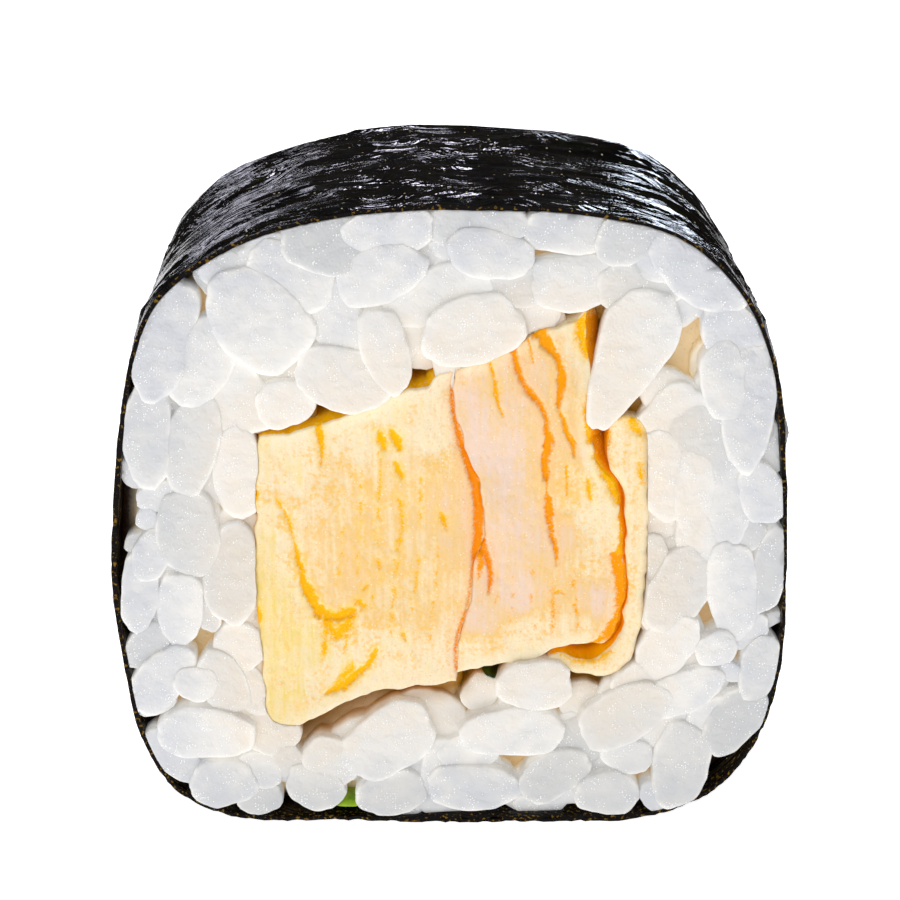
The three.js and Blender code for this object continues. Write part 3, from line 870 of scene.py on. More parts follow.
@dataclass(frozen=True)
class GrainMould:
    """The shape of a pressed grain: rings from its flat front round its rim and along its side to its back.

    A ring's share is of the grain's own radius, and its depth is counted from the flat in mm.
    """

    around: int
    share: tuple[float, ...]
    depth: tuple[float, ...]
    lumps: tuple[tuple[int, float], ...] = (
        (2, 0.035), (3, 0.04), (5, 0.024), (8, 0.014), (13, 0.009), (19, 0.005))  # counts and heights
    lean: float = 0.06  # greatest slope of its flat

    def cast(self, lay: GrainLay, seed: int) -> tuple[Array, Array]:
        """Casts grains.

        A grain's radius is that of a superellipse times waves of a few counts, and its taper narrows one
        end. Its flat leans a little.

        Args:
            lay: the grains.
            seed: for the waves and the leans.

        Returns:
            The x and z of the places, and their depths: for each grain its rings, then the middles of its
            front and of its back.
        """
        draws = np.random.default_rng(seed)
        count = len(lay.middle)
        angle = np.arange(self.around) / self.around * 2 * np.pi
        power = lay.square[:, None]
        radius = (np.abs(np.cos(angle)) ** power + np.abs(np.sin(angle)) ** power) ** (-1 / power)
        for waves, size in self.lumps:
            radius = radius * (1 + size * np.sin(waves * angle + draws.uniform(0, 2 * np.pi, (count, 1))))
        radius = radius[:, None] * np.array(self.share)[None, :, None]
        along = radius * np.cos(angle)
        across = radius * np.sin(angle) * (1 - lay.taper[:, None, None] * np.clip(along, -1, 1))
        middles = np.zeros((count, 2))
        along, across = (np.concatenate([v.reshape(count, -1), middles], 1) * lay.half[:, i:i + 1]
                         for i, v in enumerate((along, across)))
        cos, sin = np.cos(lay.turn)[:, None], np.sin(lay.turn)[:, None]
        offset = np.stack([along * cos - across * sin, along * sin + across * cos], -1)
        rings = np.repeat(self.depth, self.around)
        depth = lay.back[:, None] + np.concatenate([rings, [0, self.depth[-1] + 0.1]])
        depth = depth + (offset * draws.uniform(-self.lean, self.lean, (count, 1, 2))).sum(2)
        return lay.middle[:, None] + offset, depth

    def faces(self, count: int) -> tuple[Array, Array]:
        """Gives the four-sided and three-sided faces of grains, outwards on the front of the rice.

        Args:
            count: how many grains.

        Returns:
            The place numbers of both kinds of face.
        """
        rings = len(self.share)
        size = rings * self.around + 2
        i = np.arange(self.around)
        on, last = np.roll(i, -1), i + (rings - 1) * self.around
        front = np.column_stack([np.full(self.around, size - 2), i, on])
        back = np.column_stack([np.full(self.around, size - 1), np.roll(last, -1), last])
        start = (np.arange(count) * size)[:, None, None]
        quads = grid_quads(rings, self.around, wrap_columns=True)[:, ::-1]
        return (quads[None] + start).reshape(-1, 4), (np.vstack([front, back])[None] + start).reshape(-1, 3)

    def rim(self) -> Array:
        """Gives how much each place of a grain is part of its rim.

        Returns:
            From 0 to 1 for each place.
        """
        share, depth = np.array(self.share), np.array(self.depth)
        ring = smoothstep(0.8, 1.0, share) * (1 - smoothstep(0.8, 2.0, depth))
        return np.concatenate([np.repeat(ring, self.around), [0, 0]])


FINE_MOULD = GrainMould(64, (0.4, 0.7, 0.86, 0.935, 0.97, 0.99, 1.0, 1.005, 0.99, 0.9, 0.6),
                        (0.005, 0.02, 0.045, 0.08, 0.12, 0.18, 0.3, 0.8, 1.8, 2.6, 3.2))
ROUGH_MOULD = GrainMould(30, (0.5, 0.82, 0.95, 1.0, 0.98, 0.8), (0.01, 0.05, 0.14, 0.42, 1.4, 2.6))


@dataclass
class RiceBed:
    """The rice: a ring of it from the omelette to the seaweed, and grains pressed into both its cut faces."""

    outline: RollOutline
    view: Viewpoint
    blocks: tuple[Array, ...]  # the outlines of the omelette's blocks, which the grains keep out of
    bed: Array  # loop round the filling
    long: float = 7.3  # of a grain
    wide: float = 4.3
    swell: float = 1.04  # of the shown grains, whose edges are pressed together
    shown_seed: int = 31  # for their lumps
    around: int = 400  # places round the ring
    across: int = 26  # places from the omelette to the seaweed
    tuck: float = 0.6  # how far the ring reaches in behind the omelette's face
    floor: float = 3.4  # of the deepest gaps, behind the foremost grains
    wall_rows: int = 4
    centre: tuple[float, float] = (0.0, 25.0)
    row_step: float = 0.87  # from one row of laid grains to the next, in pitches: six round each
    combed: float = 4.5  # nearer the seaweed than this, laid grains lie along it
    under_filling: float = 0.8  # how far laid grains may reach in behind the filling
    sunk: float = 1.2  # how far a grain's edge in the omelette falls back
    overlap: float = 0.04  # of pressed pieces, so that no light passes between them

    def shown(self) -> GrainLay:
        """Gives the grains that the photo shows, each put behind its own pixel.

        Returns:
            The grains.
        """
        grains = SHOWN_GRAINS
        turn = np.radians([g.turn for g in grains])
        scale = self.pixels_in_mm()
        long_scale = np.hypot(scale[0] * np.cos(turn), scale[1] * np.sin(turn))
        wide_scale = np.hypot(scale[0] * np.sin(turn), scale[1] * np.cos(turn))
        back = np.array([g.layer.value for g in grains])
        middle = self.view.on_plane([(g.across, g.down) for g in grains], back - RICE_FRONT)
        half = np.array([(g.long, g.wide) for g in grains]) / np.column_stack([long_scale, wide_scale]) / 2
        taper, square, proud = np.array([(g.taper, g.square, g.layer is Layer.PROUD) for g in grains]).T
        return GrainLay(middle, half * self.swell, turn, back, taper, square, proud.astype(bool))

    def pixels_in_mm(self) -> Array:
        """Measures how many of the photo's pixels a millimetre of the cut face takes.

        Returns:
            The pixels across and up.
        """
        step = 10.0
        middle = self.view.picture / 2
        low = self.view.on_plane([(middle, middle), (middle + step, middle), (middle, middle + step)], -HALF)
        return step / np.array([low[1, 0] - low[0, 0], low[0, 1] - low[2, 1]])

    def by_rule(self, bedding: Bedding) -> GrainLay:
        """Lays grains on a shaken grid of even pitch, clear of the filling, and along the seaweed near it.

        Args:
            bedding: their pitch, depths, margin and openings.

        Returns:
            The grains.
        """
        draws = np.random.default_rng(bedding.seed)
        pitch = bedding.pitch
        rows = np.arange(0, HEIGHT + pitch, pitch * self.row_step)
        columns = np.arange(-WIDTH / 2, WIDTH / 2 + pitch, pitch)
        x, z = np.meshgrid(columns, rows)
        x = x + (np.arange(len(rows)) % 2)[:, None] * pitch / 2
        spots = np.column_stack([x.ravel(), z.ravel()]) + draws.uniform(-0.22, 0.22, (x.size, 2)) * pitch
        lining = self.outline.lining()
        keep = inside(spots, lining)
        distance, place = nearest(spots, lining)
        keep &= distance > bedding.margin
        keep &= ~(inside(spots, self.bed) & (nearest(spots, self.bed)[0] > self.under_filling))
        spots, distance, place = spots[keep], distance[keep], place[keep]
        count = len(spots)
        half = draws.uniform(0.82, 1.12, (count, 1)) * draws.uniform(0.92, 1.08, (count, 2))
        half = half * (self.long / 2, self.wide / 2)
        out = self.outline.at(place / len(lining) * self.outline.length)[1]
        along_sheet = np.arctan2(out[:, 0], -out[:, 1])
        free = draws.uniform(0, np.pi, count)
        turn = np.where(distance < self.combed, along_sheet + draws.uniform(-0.35, 0.35, count), free)
        clear = self.clear_of(bedding.openings, spots, half, turn)
        back = bedding.back + draws.uniform(0, bedding.spread, count)
        lay = (spots, half, turn, back, draws.uniform(-0.12, 0.12, count), draws.uniform(2.15, 2.6, count),
               np.zeros(count, bool))
        return GrainLay(*(values[clear] for values in lay))

    def clear_of(self, openings: Spots, spots: Array, half: Array,
                 turn: Array) -> Array:
        """Tells which grains cover no opening: its middle lies outside their oval, grown by its reach.

        Args:
            openings: the openings.
            spots: the grains' middles.
            half: half their lengths and widths.
            turn: their turns.

        Returns:
            Whether each grain is clear of them all.
        """
        if not openings:
            return np.ones(len(spots), bool)
        scale = self.pixels_in_mm()[0]
        middles = self.view.on_plane(np.array(openings)[:, :2], -HALF)
        reach = np.array(openings)[:, 2] / scale
        offset = middles[None] - spots[:, None]
        cos, sin = np.cos(turn)[:, None], np.sin(turn)[:, None]
        along = offset[..., 0] * cos + offset[..., 1] * sin
        across = offset[..., 1] * cos - offset[..., 0] * sin
        oval = (along / (half[:, :1] + reach)) ** 2 + (across / (half[:, 1:] + reach)) ** 2
        return (oval > 1).all(1)

    def from_omelette(self, flat: Array) -> tuple[Array, Array]:
        """Measures places against the omelette's blocks.

        Args:
            flat: x and z of the places.

        Returns:
            How far outside the blocks each place lies, less than nothing inside one, and the nearest place of
            their outlines.
        """
        best, spot = np.full(len(flat), np.inf), np.array(flat)
        for block in self.blocks:
            gap, place = nearest(flat, block)
            gap = gap * np.where(inside(flat, block), -1, 1)
            closer = gap < best
            best[closer], spot[closer] = gap[closer], block[place[closer]]
        return best, spot

    def press(self, flat: Array, depth: Array, proud: Array) -> tuple[Array, ...]:
        """Presses grains against the seaweed's lining and the omelette's sides.

        Places beyond the lining or in the omelette move to the nearest of their outlines, and those far in
        the omelette fall back behind its face. A proud grain lies on that face instead.

        Args:
            flat: x and z of the places.
            depth: their depths.
            proud: whether each belongs to a proud grain.

        Returns:
            The pressed places, their depths, and how far each is from the omelette and from the seaweed.
        """
        from_egg, spot = self.from_omelette(flat)
        into = from_egg < 0
        sunk = self.sunk * (1 - smoothstep(-0.9, -0.35, from_egg))
        depth = np.where(into & ~proud, np.maximum(depth, sunk), depth)
        depth = np.where(into & proud, np.minimum(depth, RICE_FRONT - EGG_FRONT - self.overlap), depth)
        flat = np.where((into & ~proud)[:, None], spot, flat)
        lining = self.outline.lining()
        to_sheet, place = nearest(flat, lining)
        out = self.outline.at(place / len(lining) * self.outline.length)[1]
        within = inside(flat, lining)
        flat = np.where(within[:, None], flat, lining[place] - self.overlap * out)
        return flat, depth, np.maximum(from_egg, 0), to_sheet * within

    def grains(self, lay: GrainLay, mould: GrainMould, seed: int, side: int) -> Surface:
        """Casts grains and presses them into one cut face.

        Args:
            lay: the grains.
            mould: their shape.
            seed: for their lumps.
            side: -1 for the front of the slice and 1 for its back.

        Returns:
            Their surfaces, with the values that the finish reads.
        """
        flat, depth = mould.cast(lay, seed)
        size, count = flat.shape[1], len(flat)
        proud = np.repeat(lay.proud, size)
        flat, depth, to_egg, to_sheet = self.press(flat.reshape(-1, 2), depth.ravel(), proud)
        quads, triangles = mould.faces(count)
        if side > 0:
            quads, triangles = quads[:, ::-1], triangles[:, ::-1]
        own = np.repeat(np.random.default_rng(seed + 1).uniform(-1, 1, count), size)
        values = {**self.values(depth, to_egg, to_sheet, own), "rim": np.tile(mould.rim(), count)}
        places = np.column_stack([flat[:, 0], side * (RICE_FRONT - depth), flat[:, 1]])
        return Surface(places, quads, triangles, values)

    @staticmethod
    def values(depth: Array, to_egg: Array, to_sheet: Array,
               own: Array) -> dict[str, Array]:
        """Works out the values that the finish reads. Beside the omelette, a shallower place is a gap too,
        which the finish paints with shade.

        Args:
            depth: of each place, behind the foremost grains.
            to_egg: how far it is from the omelette.
            to_sheet: how far it is from the seaweed.
            own: from -1 to 1, of the grain that it belongs to.

        Returns:
            The tone from cool, painted shade by the seaweed, to warm, painted light thrown back by the
            omelette, how glassy each place is, how much of a gap it is for the painted shade, and how near
            the two are.
        """
        # Nearness to the seaweed darkens and cools the tone as painted shade, and nearness to the omelette
        # warms it as painted light thrown back, besides each grain's own random share.
        cool, warm = 1 - smoothstep(0, 8, to_sheet), 1 - smoothstep(0, 7, to_egg)
        by_omelette = 1 - smoothstep(0.8, 3.2, to_egg)
        return {
            "tone": np.clip(0.45 - 0.36 * cool + 0.42 * warm + 0.1 * own, 0, 1),
            "clear": np.clip(own - 0.35, 0, 1) * (1 - 0.6 * warm),
            "gap": smoothstep(1.4, 2.7, depth + 0.8 * by_omelette),
            "by_omelette": by_omelette,
            "by_seaweed": 1 - smoothstep(0.5, 1.5, to_sheet),
        }

    def reach_along(self, ray: Array, loop: Array) -> Array:
        """Measures how far out a loop lies in each direction from the centre, by its places in order of turn.

        Args:
            ray: the directions, a row each.
            loop: the loop, a row for each place.

        Returns:
            The distance for each direction.
        """
        arm = loop - self.centre
        turn = np.mod(np.arctan2(arm[:, 1], arm[:, 0]), 2 * np.pi)
        order = np.argsort(turn)
        ask = np.mod(np.arctan2(ray[:, 1], ray[:, 0]), 2 * np.pi)
        return np.interp(ask, turn[order], np.linalg.norm(arm, axis=1)[order], period=2 * np.pi)

    def ring(self) -> Surface:
        """Works out the ring: its front outwards, its outer wall, its back inwards and its inner wall.

        Its faces lie on straight rays from the centre, from behind the omelette to the seaweed, and are the
        floor that the deepest gaps show.

        Returns:
            Its surface.
        """
        arm = self.outline.lining(self.around) - self.centre
        outer = np.linalg.norm(arm, axis=1)
        ray = arm / outer[:, None]
        inner = self.reach_along(ray, self.bed) - self.tuck
        share = np.linspace(0, 1, self.across)
        reach = inner + (outer - 0.05 - inner) * np.concatenate([
            share, np.ones(self.wall_rows), share[::-1], np.zeros(self.wall_rows)])[:, None]
        flat = (self.centre + ray[None] * reach[..., None]).reshape(-1, 2)
        uneven = 0.5 * Noise(21).at(flat[:, 0] / 2.4, flat[:, 1] / 2.1)
        face = RICE_FRONT - self.floor
        wall = np.linspace(-face + 1, face - 1, self.wall_rows)
        middle = np.concatenate([np.full(self.across, -face), wall, np.full(self.across, face), wall[::-1]])
        y = np.repeat(middle, self.around)
        y = y + uneven * (np.abs(y) == face)
        quads = grid_quads(len(middle), self.around, wrap_rows=True, wrap_columns=True)[:, ::-1]
        to_egg, to_sheet = np.maximum(self.from_omelette(flat)[0], 0), nearest(flat, self.outline.lining())[0]
        values = {**self.values(np.full(len(flat), self.floor), to_egg, to_sheet, 0 * y), "rim": 0 * y}
        return Surface(np.column_stack([flat[:, 0], y, flat[:, 1]]), quads, values=values)

    def build(self, material: Material) -> list[Object]:
        """Builds the rice as three pieces: the ring with its hidden grains, the shown grains and the back's.

        Args:
            material: its finish.

        Returns:
            The pieces.
        """
        under, over, deep, back = (
            self.grains(self.by_rule(bedding), ROUGH_MOULD, bedding.cast_seed, bedding.side)
            for bedding in FRONT_BEDDINGS + BACK_BEDDINGS)
        bed = self.ring().joined(under).joined(over)
        shown = self.grains(self.shown(), FINE_MOULD, self.shown_seed, -1)
        return [bed.piece("rice_bed", material), shown.piece("rice_front", material),
                deep.joined(back).piece("rice_back", material)]


# ---------------------------------------------------------------- omelette


@dataclass(frozen=True)
class RolledOmelette:
    """Rolled omelette, cooked in thin layers and cut with a knife: pale and curdled, with openings whose gold
    is painted shade and light within the egg, and orange joins that are browned.

    Round an opening the flesh is stained by it, and along its outer sides it has a paler crust.
    """

    yellow: str = "#f1d573"
    cream: str = "#f4e3c0"
    peach: str = "#f0cb8a"
    pink: str = "#edd3c0"
    # gold: painted shade and light within the egg in its openings; orange: the browned joins, and painted
    # shade on the walls of deep gaps
    gold: str = "#ffbd00"
    orange: str = "#fb9000"
    amber: str = "#963c00"  # of the hollow between two folds, where no light comes in
    gold_stain: str = "#f8cf55"
    orange_stain: str = "#f5c093"
    crust: str = "#f5e8c8"
    curd: str = "#f8c23c"
    # painted glints: pale dots on the cut face
    point: str = "#fffdf6"
    grain: float = 0.3  # of the curd
    streak: float = 0.55  # between two of its upright streaks
    roughness: float = 0.45

    def make(self) -> Material:
        """Makes the material. Of the values that it reads, amber is the heat of a piece's openings.

        Returns:
            The material.
        """
        m = new_material("rolled_omelette")
        where = add(m, "TexCoord").outputs["Object"]
        warmth, opening, heat, hollow, stain, crust = (
            add(m, "Attribute", attribute_name=name).outputs["Fac"]
            for name in ("warmth", "opening", "amber", "hollow", "stain", "crust"))
        upright = add(m, "Mapping", {
            "Vector": where, "Rotation": (0, 0.1, 0),
            "Scale": (1 / (self.streak * MM), 1 / (3 * MM), 1 / (7 * MM))})
        layers = add(m, "TexNoise", (upright, 1, 2, 0.55))
        curds = add(m, "TexNoise", (where, 1 / (self.grain * MM), 2))
        blots = add(m, "TexNoise", (where, 1 / (1.6 * MM), 4, 0.6))
        tone = warmth
        for noise, swing in ((layers, 0.13), (curds, 0.06), (blots, 0.11)):
            swung = add(m, "MapRange", (noise, 0.3, 0.7, -swing, swing))
            tone = add(m, "Math", (swung, tone), operation="ADD")
        flesh = add(m, "ValToRGB", {"Fac": tone},
                    ((0, self.yellow), (1, self.pink), (0.35, self.cream), (0.68, self.peach)))
        crossed = add(m, "Math", (curds, blots), operation="ADD")
        spots = add(m, "MapRange", (crossed, 1.02, 1.3, 0, 0.6))
        gold_share = add(m, "MapRange", (warmth, 0.55, 0.9, 1, 0.1))
        golden = add(m, "Math", (spots, gold_share), operation="MULTIPLY")
        curdled = add(m, "Mix", (golden, flesh, self.curd), data_type="RGBA")
        hard = add(m, "Math", (blots, crust), operation="MULTIPLY")
        crusted = add(m, "MapRange", (hard, 0.15, 0.5, 0, 0.85))
        pale = add(m, "Mix", (crusted, curdled, self.crust), data_type="RGBA")
        tint = add(m, "Mix", (heat, self.gold_stain, self.orange_stain), data_type="RGBA")
        soaked = add(m, "Math", (curds, stain), operation="MULTIPLY")
        stained = add(m, "Mix", (soaked, pale, tint), data_type="RGBA")
        # The openings: gold as painted shade and light within the egg, orange for browned joins, and amber
        # painted shade in the hollows.
        deep = add(m, "Mix", (heat, self.gold, self.orange), data_type="RGBA")
        deep = add(m, "Mix", (hollow, deep, self.amber), data_type="RGBA")
        fine = add(m, "TexNoise", (where, 1 / (0.16 * MM), 1))
        edge = add(m, "Math", (fine, 1.5, -0.75), operation="MULTIPLY_ADD")
        frayed = add(m, "Math", (opening, edge), operation="ADD")
        open_here = add(m, "MapRange", (frayed, 0.15, 0.85))
        seamed = add(m, "Mix", (open_here, stained, deep), data_type="RGBA")
        # Painted glints: a few pale dots, kept out of the openings.
        points = add(m, "TexVoronoi", {"Vector": where, "Scale": 1 / (0.22 * MM)})
        chance = add(m, "SeparateColor", {"Color": points.outputs["Color"]})
        few = add(m, "Math", (chance, 0.12), operation="LESS_THAN")
        dot = add(m, "MapRange", (points, 0.1, 0.3, 0.6, 0))
        glint = add(m, "Math", (dot, few), operation="MULTIPLY")
        shut = add(m, "Math", (1, open_here), operation="SUBTRACT")
        glint = add(m, "Math", (glint, shut), operation="MULTIPLY")
        colour = add(m, "Mix", (glint, seamed, self.point), data_type="RGBA")
        height = add(m, "Math", (blots, 2, curds), operation="MULTIPLY_ADD")
        bump = add(m, "Bump", {"Height": height, "Strength": 1.0, "Distance": 0.03 * MM})
        shine = add(m, "MapRange", (open_here, 0, 1, 0.35, 0.1))
        shader = add(m, "BsdfPrincipled", {
            "Base Color": colour, "Roughness": self.roughness, "IOR": 1.4, "Specular IOR Level": shine,
            "Subsurface Weight": 0.3, "Subsurface Radius": (1.0, 0.7, 0.35), "Subsurface Scale": 0.5 * MM,
            "Normal": bump})
        add(m, "OutputMaterial", {"Surface": shader})
        return m


@dataclass(frozen=True)
class Seam:
    """An opening between layers on the cut face: its path in the photo's pixels, and its widths along it."""

    path: Pixels
    width: tuple[float, ...]  # mm, evenly spaced along the path
    depth: float = 0.5
    heat: float = 0.0  # 0 gold, 1 orange
    closed: float = 0.0  # share of its length where the layers touch, so that it shows as dots
    ragged: float = 0.3  # share by which its width varies
    soft: float = 0.16  # over which it fades out


@dataclass
class OmeletteBlock:
    """A block of omelette through the slice, bounded on the cut face by four sides, with its open seams."""

    name: str
    node: str
    view: Viewpoint
    left: Pixels  # from the bottom up
    right: Pixels  # from the bottom up
    bottom: Pixels  # from the left
    top: Pixels  # from the left
    seams: tuple[Seam, ...]
    tints: Spots  # the warmth at places of the cut face: 0 is yellow, 0.35 cream and 1 pink
    seed: int
    stand_out: Sides = (0.25, 0.1, 0.35, 0.1)  # how far the walls swell out behind the face
    # The walls show only in gaps: their orange and gold are painted shade and light within the egg.
    wall_heat: Sides = (0.0, 0.5, 0.0, 0.0)
    wall_gold: Sides = (1.0, 0.5, 0.9, 0.8)
    gold_up_to: float = 0.0  # z below which no wall is orange
    crust: Sides = (0.8, 0.0, 1.0, 0.4)
    face: float = EGG_FRONT
    cell: float = 0.105  # between two places of the cut face
    rounding: float = 0.16  # of the edge round the cut face
    rows: int = 12  # along the sides
    sparse: tuple[int, int] = (40, 70)  # places across and up, in the loop that grains are pressed against
    seam_places: int = 120  # along each seam
    seam_reach: float = 2.4  # how far a seam's stain is worked out
    crumble: tuple[tuple[int, float, float], ...] = ((90, 0.13, 1.3), (94, 0.06, 0.5))  # seed, size and run

    def side(self, pixels: Pixels, count: int) -> Array:
        """Follows one side, moved by two noises of its own place, so that sides meet.

        Args:
            pixels: the side on the photo.
            count: how many places.

        Returns:
            Their x and z, a row each.
        """
        flat = spaced(through(self.view.on_plane(pixels, -self.face), closed=False), count)
        moved = [sum(size * Noise(seed + axis).at(flat[:, 0] / run, flat[:, 1] / run)
                     for seed, size, run in self.crumble) for axis in (0, 1)]
        return flat + np.column_stack(moved)

    def outline(self) -> Array:
        """Gives the loop round the cut face, in mm.

        Returns:
            Its places, a row each.
        """
        across, up = self.sparse
        bottom, right = self.side(self.bottom, across), self.side(self.right, up)
        top, left = self.side(self.top, across), self.side(self.left, up)
        return np.vstack([bottom, right[1:], top[-2::-1], left[-2:0:-1]])

    def patch(self) -> Array:
        """Works out the cut face's grid as a Coons patch: both blends of facing sides, less the corners'.

        Returns:
            The x and z of each place of each row.
        """
        sides = {name: self.view.on_plane(getattr(self, name), -self.face) for name in ("left", "bottom")}
        lengths = {name: np.linalg.norm(np.diff(line, axis=0), axis=1).sum() for name, line in sides.items()}
        columns = 2 * math.ceil(lengths["bottom"] / self.cell / 2) + 1
        rows = 2 * math.ceil(lengths["left"] / self.cell / 2) + 1
        left, right = self.side(self.left, rows), self.side(self.right, rows)
        bottom, top = self.side(self.bottom, columns), self.side(self.top, columns)
        u = np.linspace(0, 1, columns)[None, :, None]
        v = np.linspace(0, 1, rows)[:, None, None]
        between = (1 - u) * left[:, None] + u * right[:, None] + (1 - v) * bottom[None] + v * top[None]
        corners = ((1 - u) * (1 - v) * left[0] + u * (1 - v) * right[0]
                   + (1 - u) * v * left[-1] + u * v * right[-1])
        return between - corners

    def openings(self, flat: Array) -> tuple[Array, Array, Array, Array]:
        """Works out how far each place lies in a seam, and how it is stained by one.

        A place is in a seam by the smooth step of half the seam's width there less its distance to the
        path. The width varies by two fine noises, and a dotted seam is shut where a coarser noise is low.
        The stain falls off from the seam as a bell curve does, wider round a hotter one.

        Args:
            flat: x and z of the places.

        Returns:
            The share by which each place is in a seam, that seam's heat, how far it is sunk, and the stain.
        """
        opening, heat, sunk, stain = np.zeros((4, len(flat)))
        rough = (0.6 * Noise(self.seed).at(flat[:, 0] / 0.3, flat[:, 1] / 0.3)
                 + 0.4 * Noise(self.seed + 5).at(flat[:, 0] / 0.15, flat[:, 1] / 0.15))
        coarse = Noise(self.seed + 1).at(flat[:, 0] / 0.45, flat[:, 1] / 0.5)
        for seam in self.seams:
            path = spaced(through(self.view.on_plane(seam.path, -self.face), closed=False), self.seam_places)
            widest = max(seam.width) + self.seam_reach
            near = np.flatnonzero(((flat > path.min(0) - widest) & (flat < path.max(0) + widest)).all(1))
            if not len(near):
                continue
            distance, place = nearest(flat[near], path)
            width = np.interp(place, np.linspace(0, len(path) - 1, len(seam.width)), seam.width)
            width = width * (1 + seam.ragged * rough[near]) + 0.12 * rough[near] * (width > 0.25)
            shown = smoothstep(-0.2, 0.2, coarse[near] + 1.2 - 2.2 * seam.closed)
            here = smoothstep(-seam.soft, seam.soft, width / 2 - distance) * shown
            away = np.maximum(distance - width / 2, 0) / (0.35 + 0.2 * seam.heat)
            soaked = np.exp(-away**2) * np.minimum(width / 0.3, 1) * (1 - 0.5 * seam.closed)
            heat[near] = np.where(soaked > stain[near], seam.heat, heat[near])
            stain[near] = np.maximum(stain[near], soaked)
            sunk[near] = np.maximum(sunk[near], here * seam.depth)
            opening[near] = np.maximum(opening[near], here)
        return opening, heat, sunk, stain

    def warmth(self, flat: Array) -> Array:
        """Blends the tints: each counts by the inverse fourth power of the distance to it.

        Args:
            flat: x and z of the places.

        Returns:
            The warmth of each.
        """
        tints = np.array(self.tints)
        at = self.view.on_plane(tints[:, :2], -self.face)
        squares = ((flat[:, None, :] - at[None]) ** 2).sum(2) + 0.5
        weight = squares**-2
        return (weight * tints[:, 2]).sum(1) / weight.sum(1)

    def cut_face(self, grid: Array, side: int) -> Surface:
        """Works out one cut face: the patch, rounded back at its edge, sunk at its seams and finely uneven.

        Args:
            grid: the patch.
            side: -1 for the front and 1 for the back.

        Returns:
            Its surface, without walls.
        """
        rows, columns = grid.shape[:2]
        flat = grid.reshape(-1, 2)
        ring = self.border(rows, columns)
        to_edge, place = nearest(flat, flat[ring])
        opening, heat, sunk, stain = self.openings(flat)
        crust = self.by_side(self.crust, rows, columns)[place] * (1 - smoothstep(0.2, 1.9, to_edge))
        near = np.clip(1 - to_edge / self.rounding, 0, 1)
        back = self.rounding * (1 - np.sqrt(1 - near**2))
        swell = 0.12 * Noise(self.seed + 2).at(flat[:, 0] / 3.1, flat[:, 1] / 4.3)
        curd = 0.03 * Noise(self.seed + 3).at(flat[:, 0] / 0.35, flat[:, 1] / 0.6)
        y = side * (self.face - back - sunk + swell * (1 - near) + curd)
        places = np.column_stack([flat[:, 0], y, flat[:, 1]])
        values = {"opening": opening, "amber": heat, "hollow": 0 * heat, "warmth": self.warmth(flat),
                  "stain": stain, "crust": crust}
        return Surface(places, grid_quads(rows, columns), values=values)

    @staticmethod
    def border(rows: int, columns: int) -> Array:
        """Gives the places round a grid, from its first corner along the first row."""
        number = np.arange(rows * columns).reshape(rows, columns)
        return np.concatenate([number[0, :-1], number[:-1, -1], number[-1, :0:-1], number[:0:-1, 0]])

    @staticmethod
    def by_side(values: Sides, rows: int, columns: int) -> Array:
        """Spreads the sides' values along the border, blended over 9 places at its corners.

        Args:
            values: one for each side.
            rows: of the grid.
            columns: of the grid.

        Returns:
            The value at each place of the border.
        """
        counts = (columns - 1, rows - 1, columns - 1, rows - 1)
        each = np.repeat(values, counts)
        return np.mean([np.roll(each, shift) for shift in range(-4, 5)], axis=0)

    def walls(self, edge: Array, rows: int, columns: int) -> Surface:
        """Works out the sides: rings like the cut face's border, which stand out of it behind its rounding.

        Args:
            edge: x and z of the border's places.
            rows: of the grid.
            columns: of the grid.

        Returns:
            Their surface, open at both ends.
        """
        slope = np.roll(edge, -1, axis=0) - np.roll(edge, 1, axis=0)
        out = np.column_stack([slope[:, 1], -slope[:, 0]]) / np.linalg.norm(slope, axis=1)[:, None]
        run = np.arange(len(edge)) * self.cell
        share = (np.arange(1, self.rows + 1) / (self.rows + 1))[:, None]
        y = -self.face + self.rounding + (2 * self.face - 2 * self.rounding) * share**2.2
        stand_out = self.by_side(self.stand_out, rows, columns)[None] * smoothstep(0.2, 1.3, y + self.face)
        uneven = 0.1 * Noise(self.seed + 4).at(run[None, :] / 2.6, y / 3.0) * smoothstep(0, 1, y + self.face)
        flat = edge[None] + out[None] * (stand_out * smoothstep(0, 2, self.face - y) + uneven)[..., None]
        places = np.stack([flat[..., 0], np.broadcast_to(y, flat.shape[:2]), flat[..., 1]], -1).reshape(-1, 3)
        # The walls take the painted gold and orange of the gaps, and amber painted shade further back in a
        # hollow.
        heat = np.tile(self.by_side(self.wall_heat, rows, columns), self.rows)
        heat = heat * smoothstep(self.gold_up_to, self.gold_up_to + 2, places[:, 2])
        opening = np.tile(self.by_side(self.wall_gold, rows, columns), self.rows)
        hollow = heat * opening * smoothstep(0.2, 1.2, places[:, 1] + self.face)
        return Surface(places, grid_quads(self.rows, len(edge), wrap_columns=True),
                       values={"opening": opening, "amber": heat, "hollow": hollow, "warmth": 0 * heat + 0.3,
                               "stain": opening, "crust": 1 - opening})

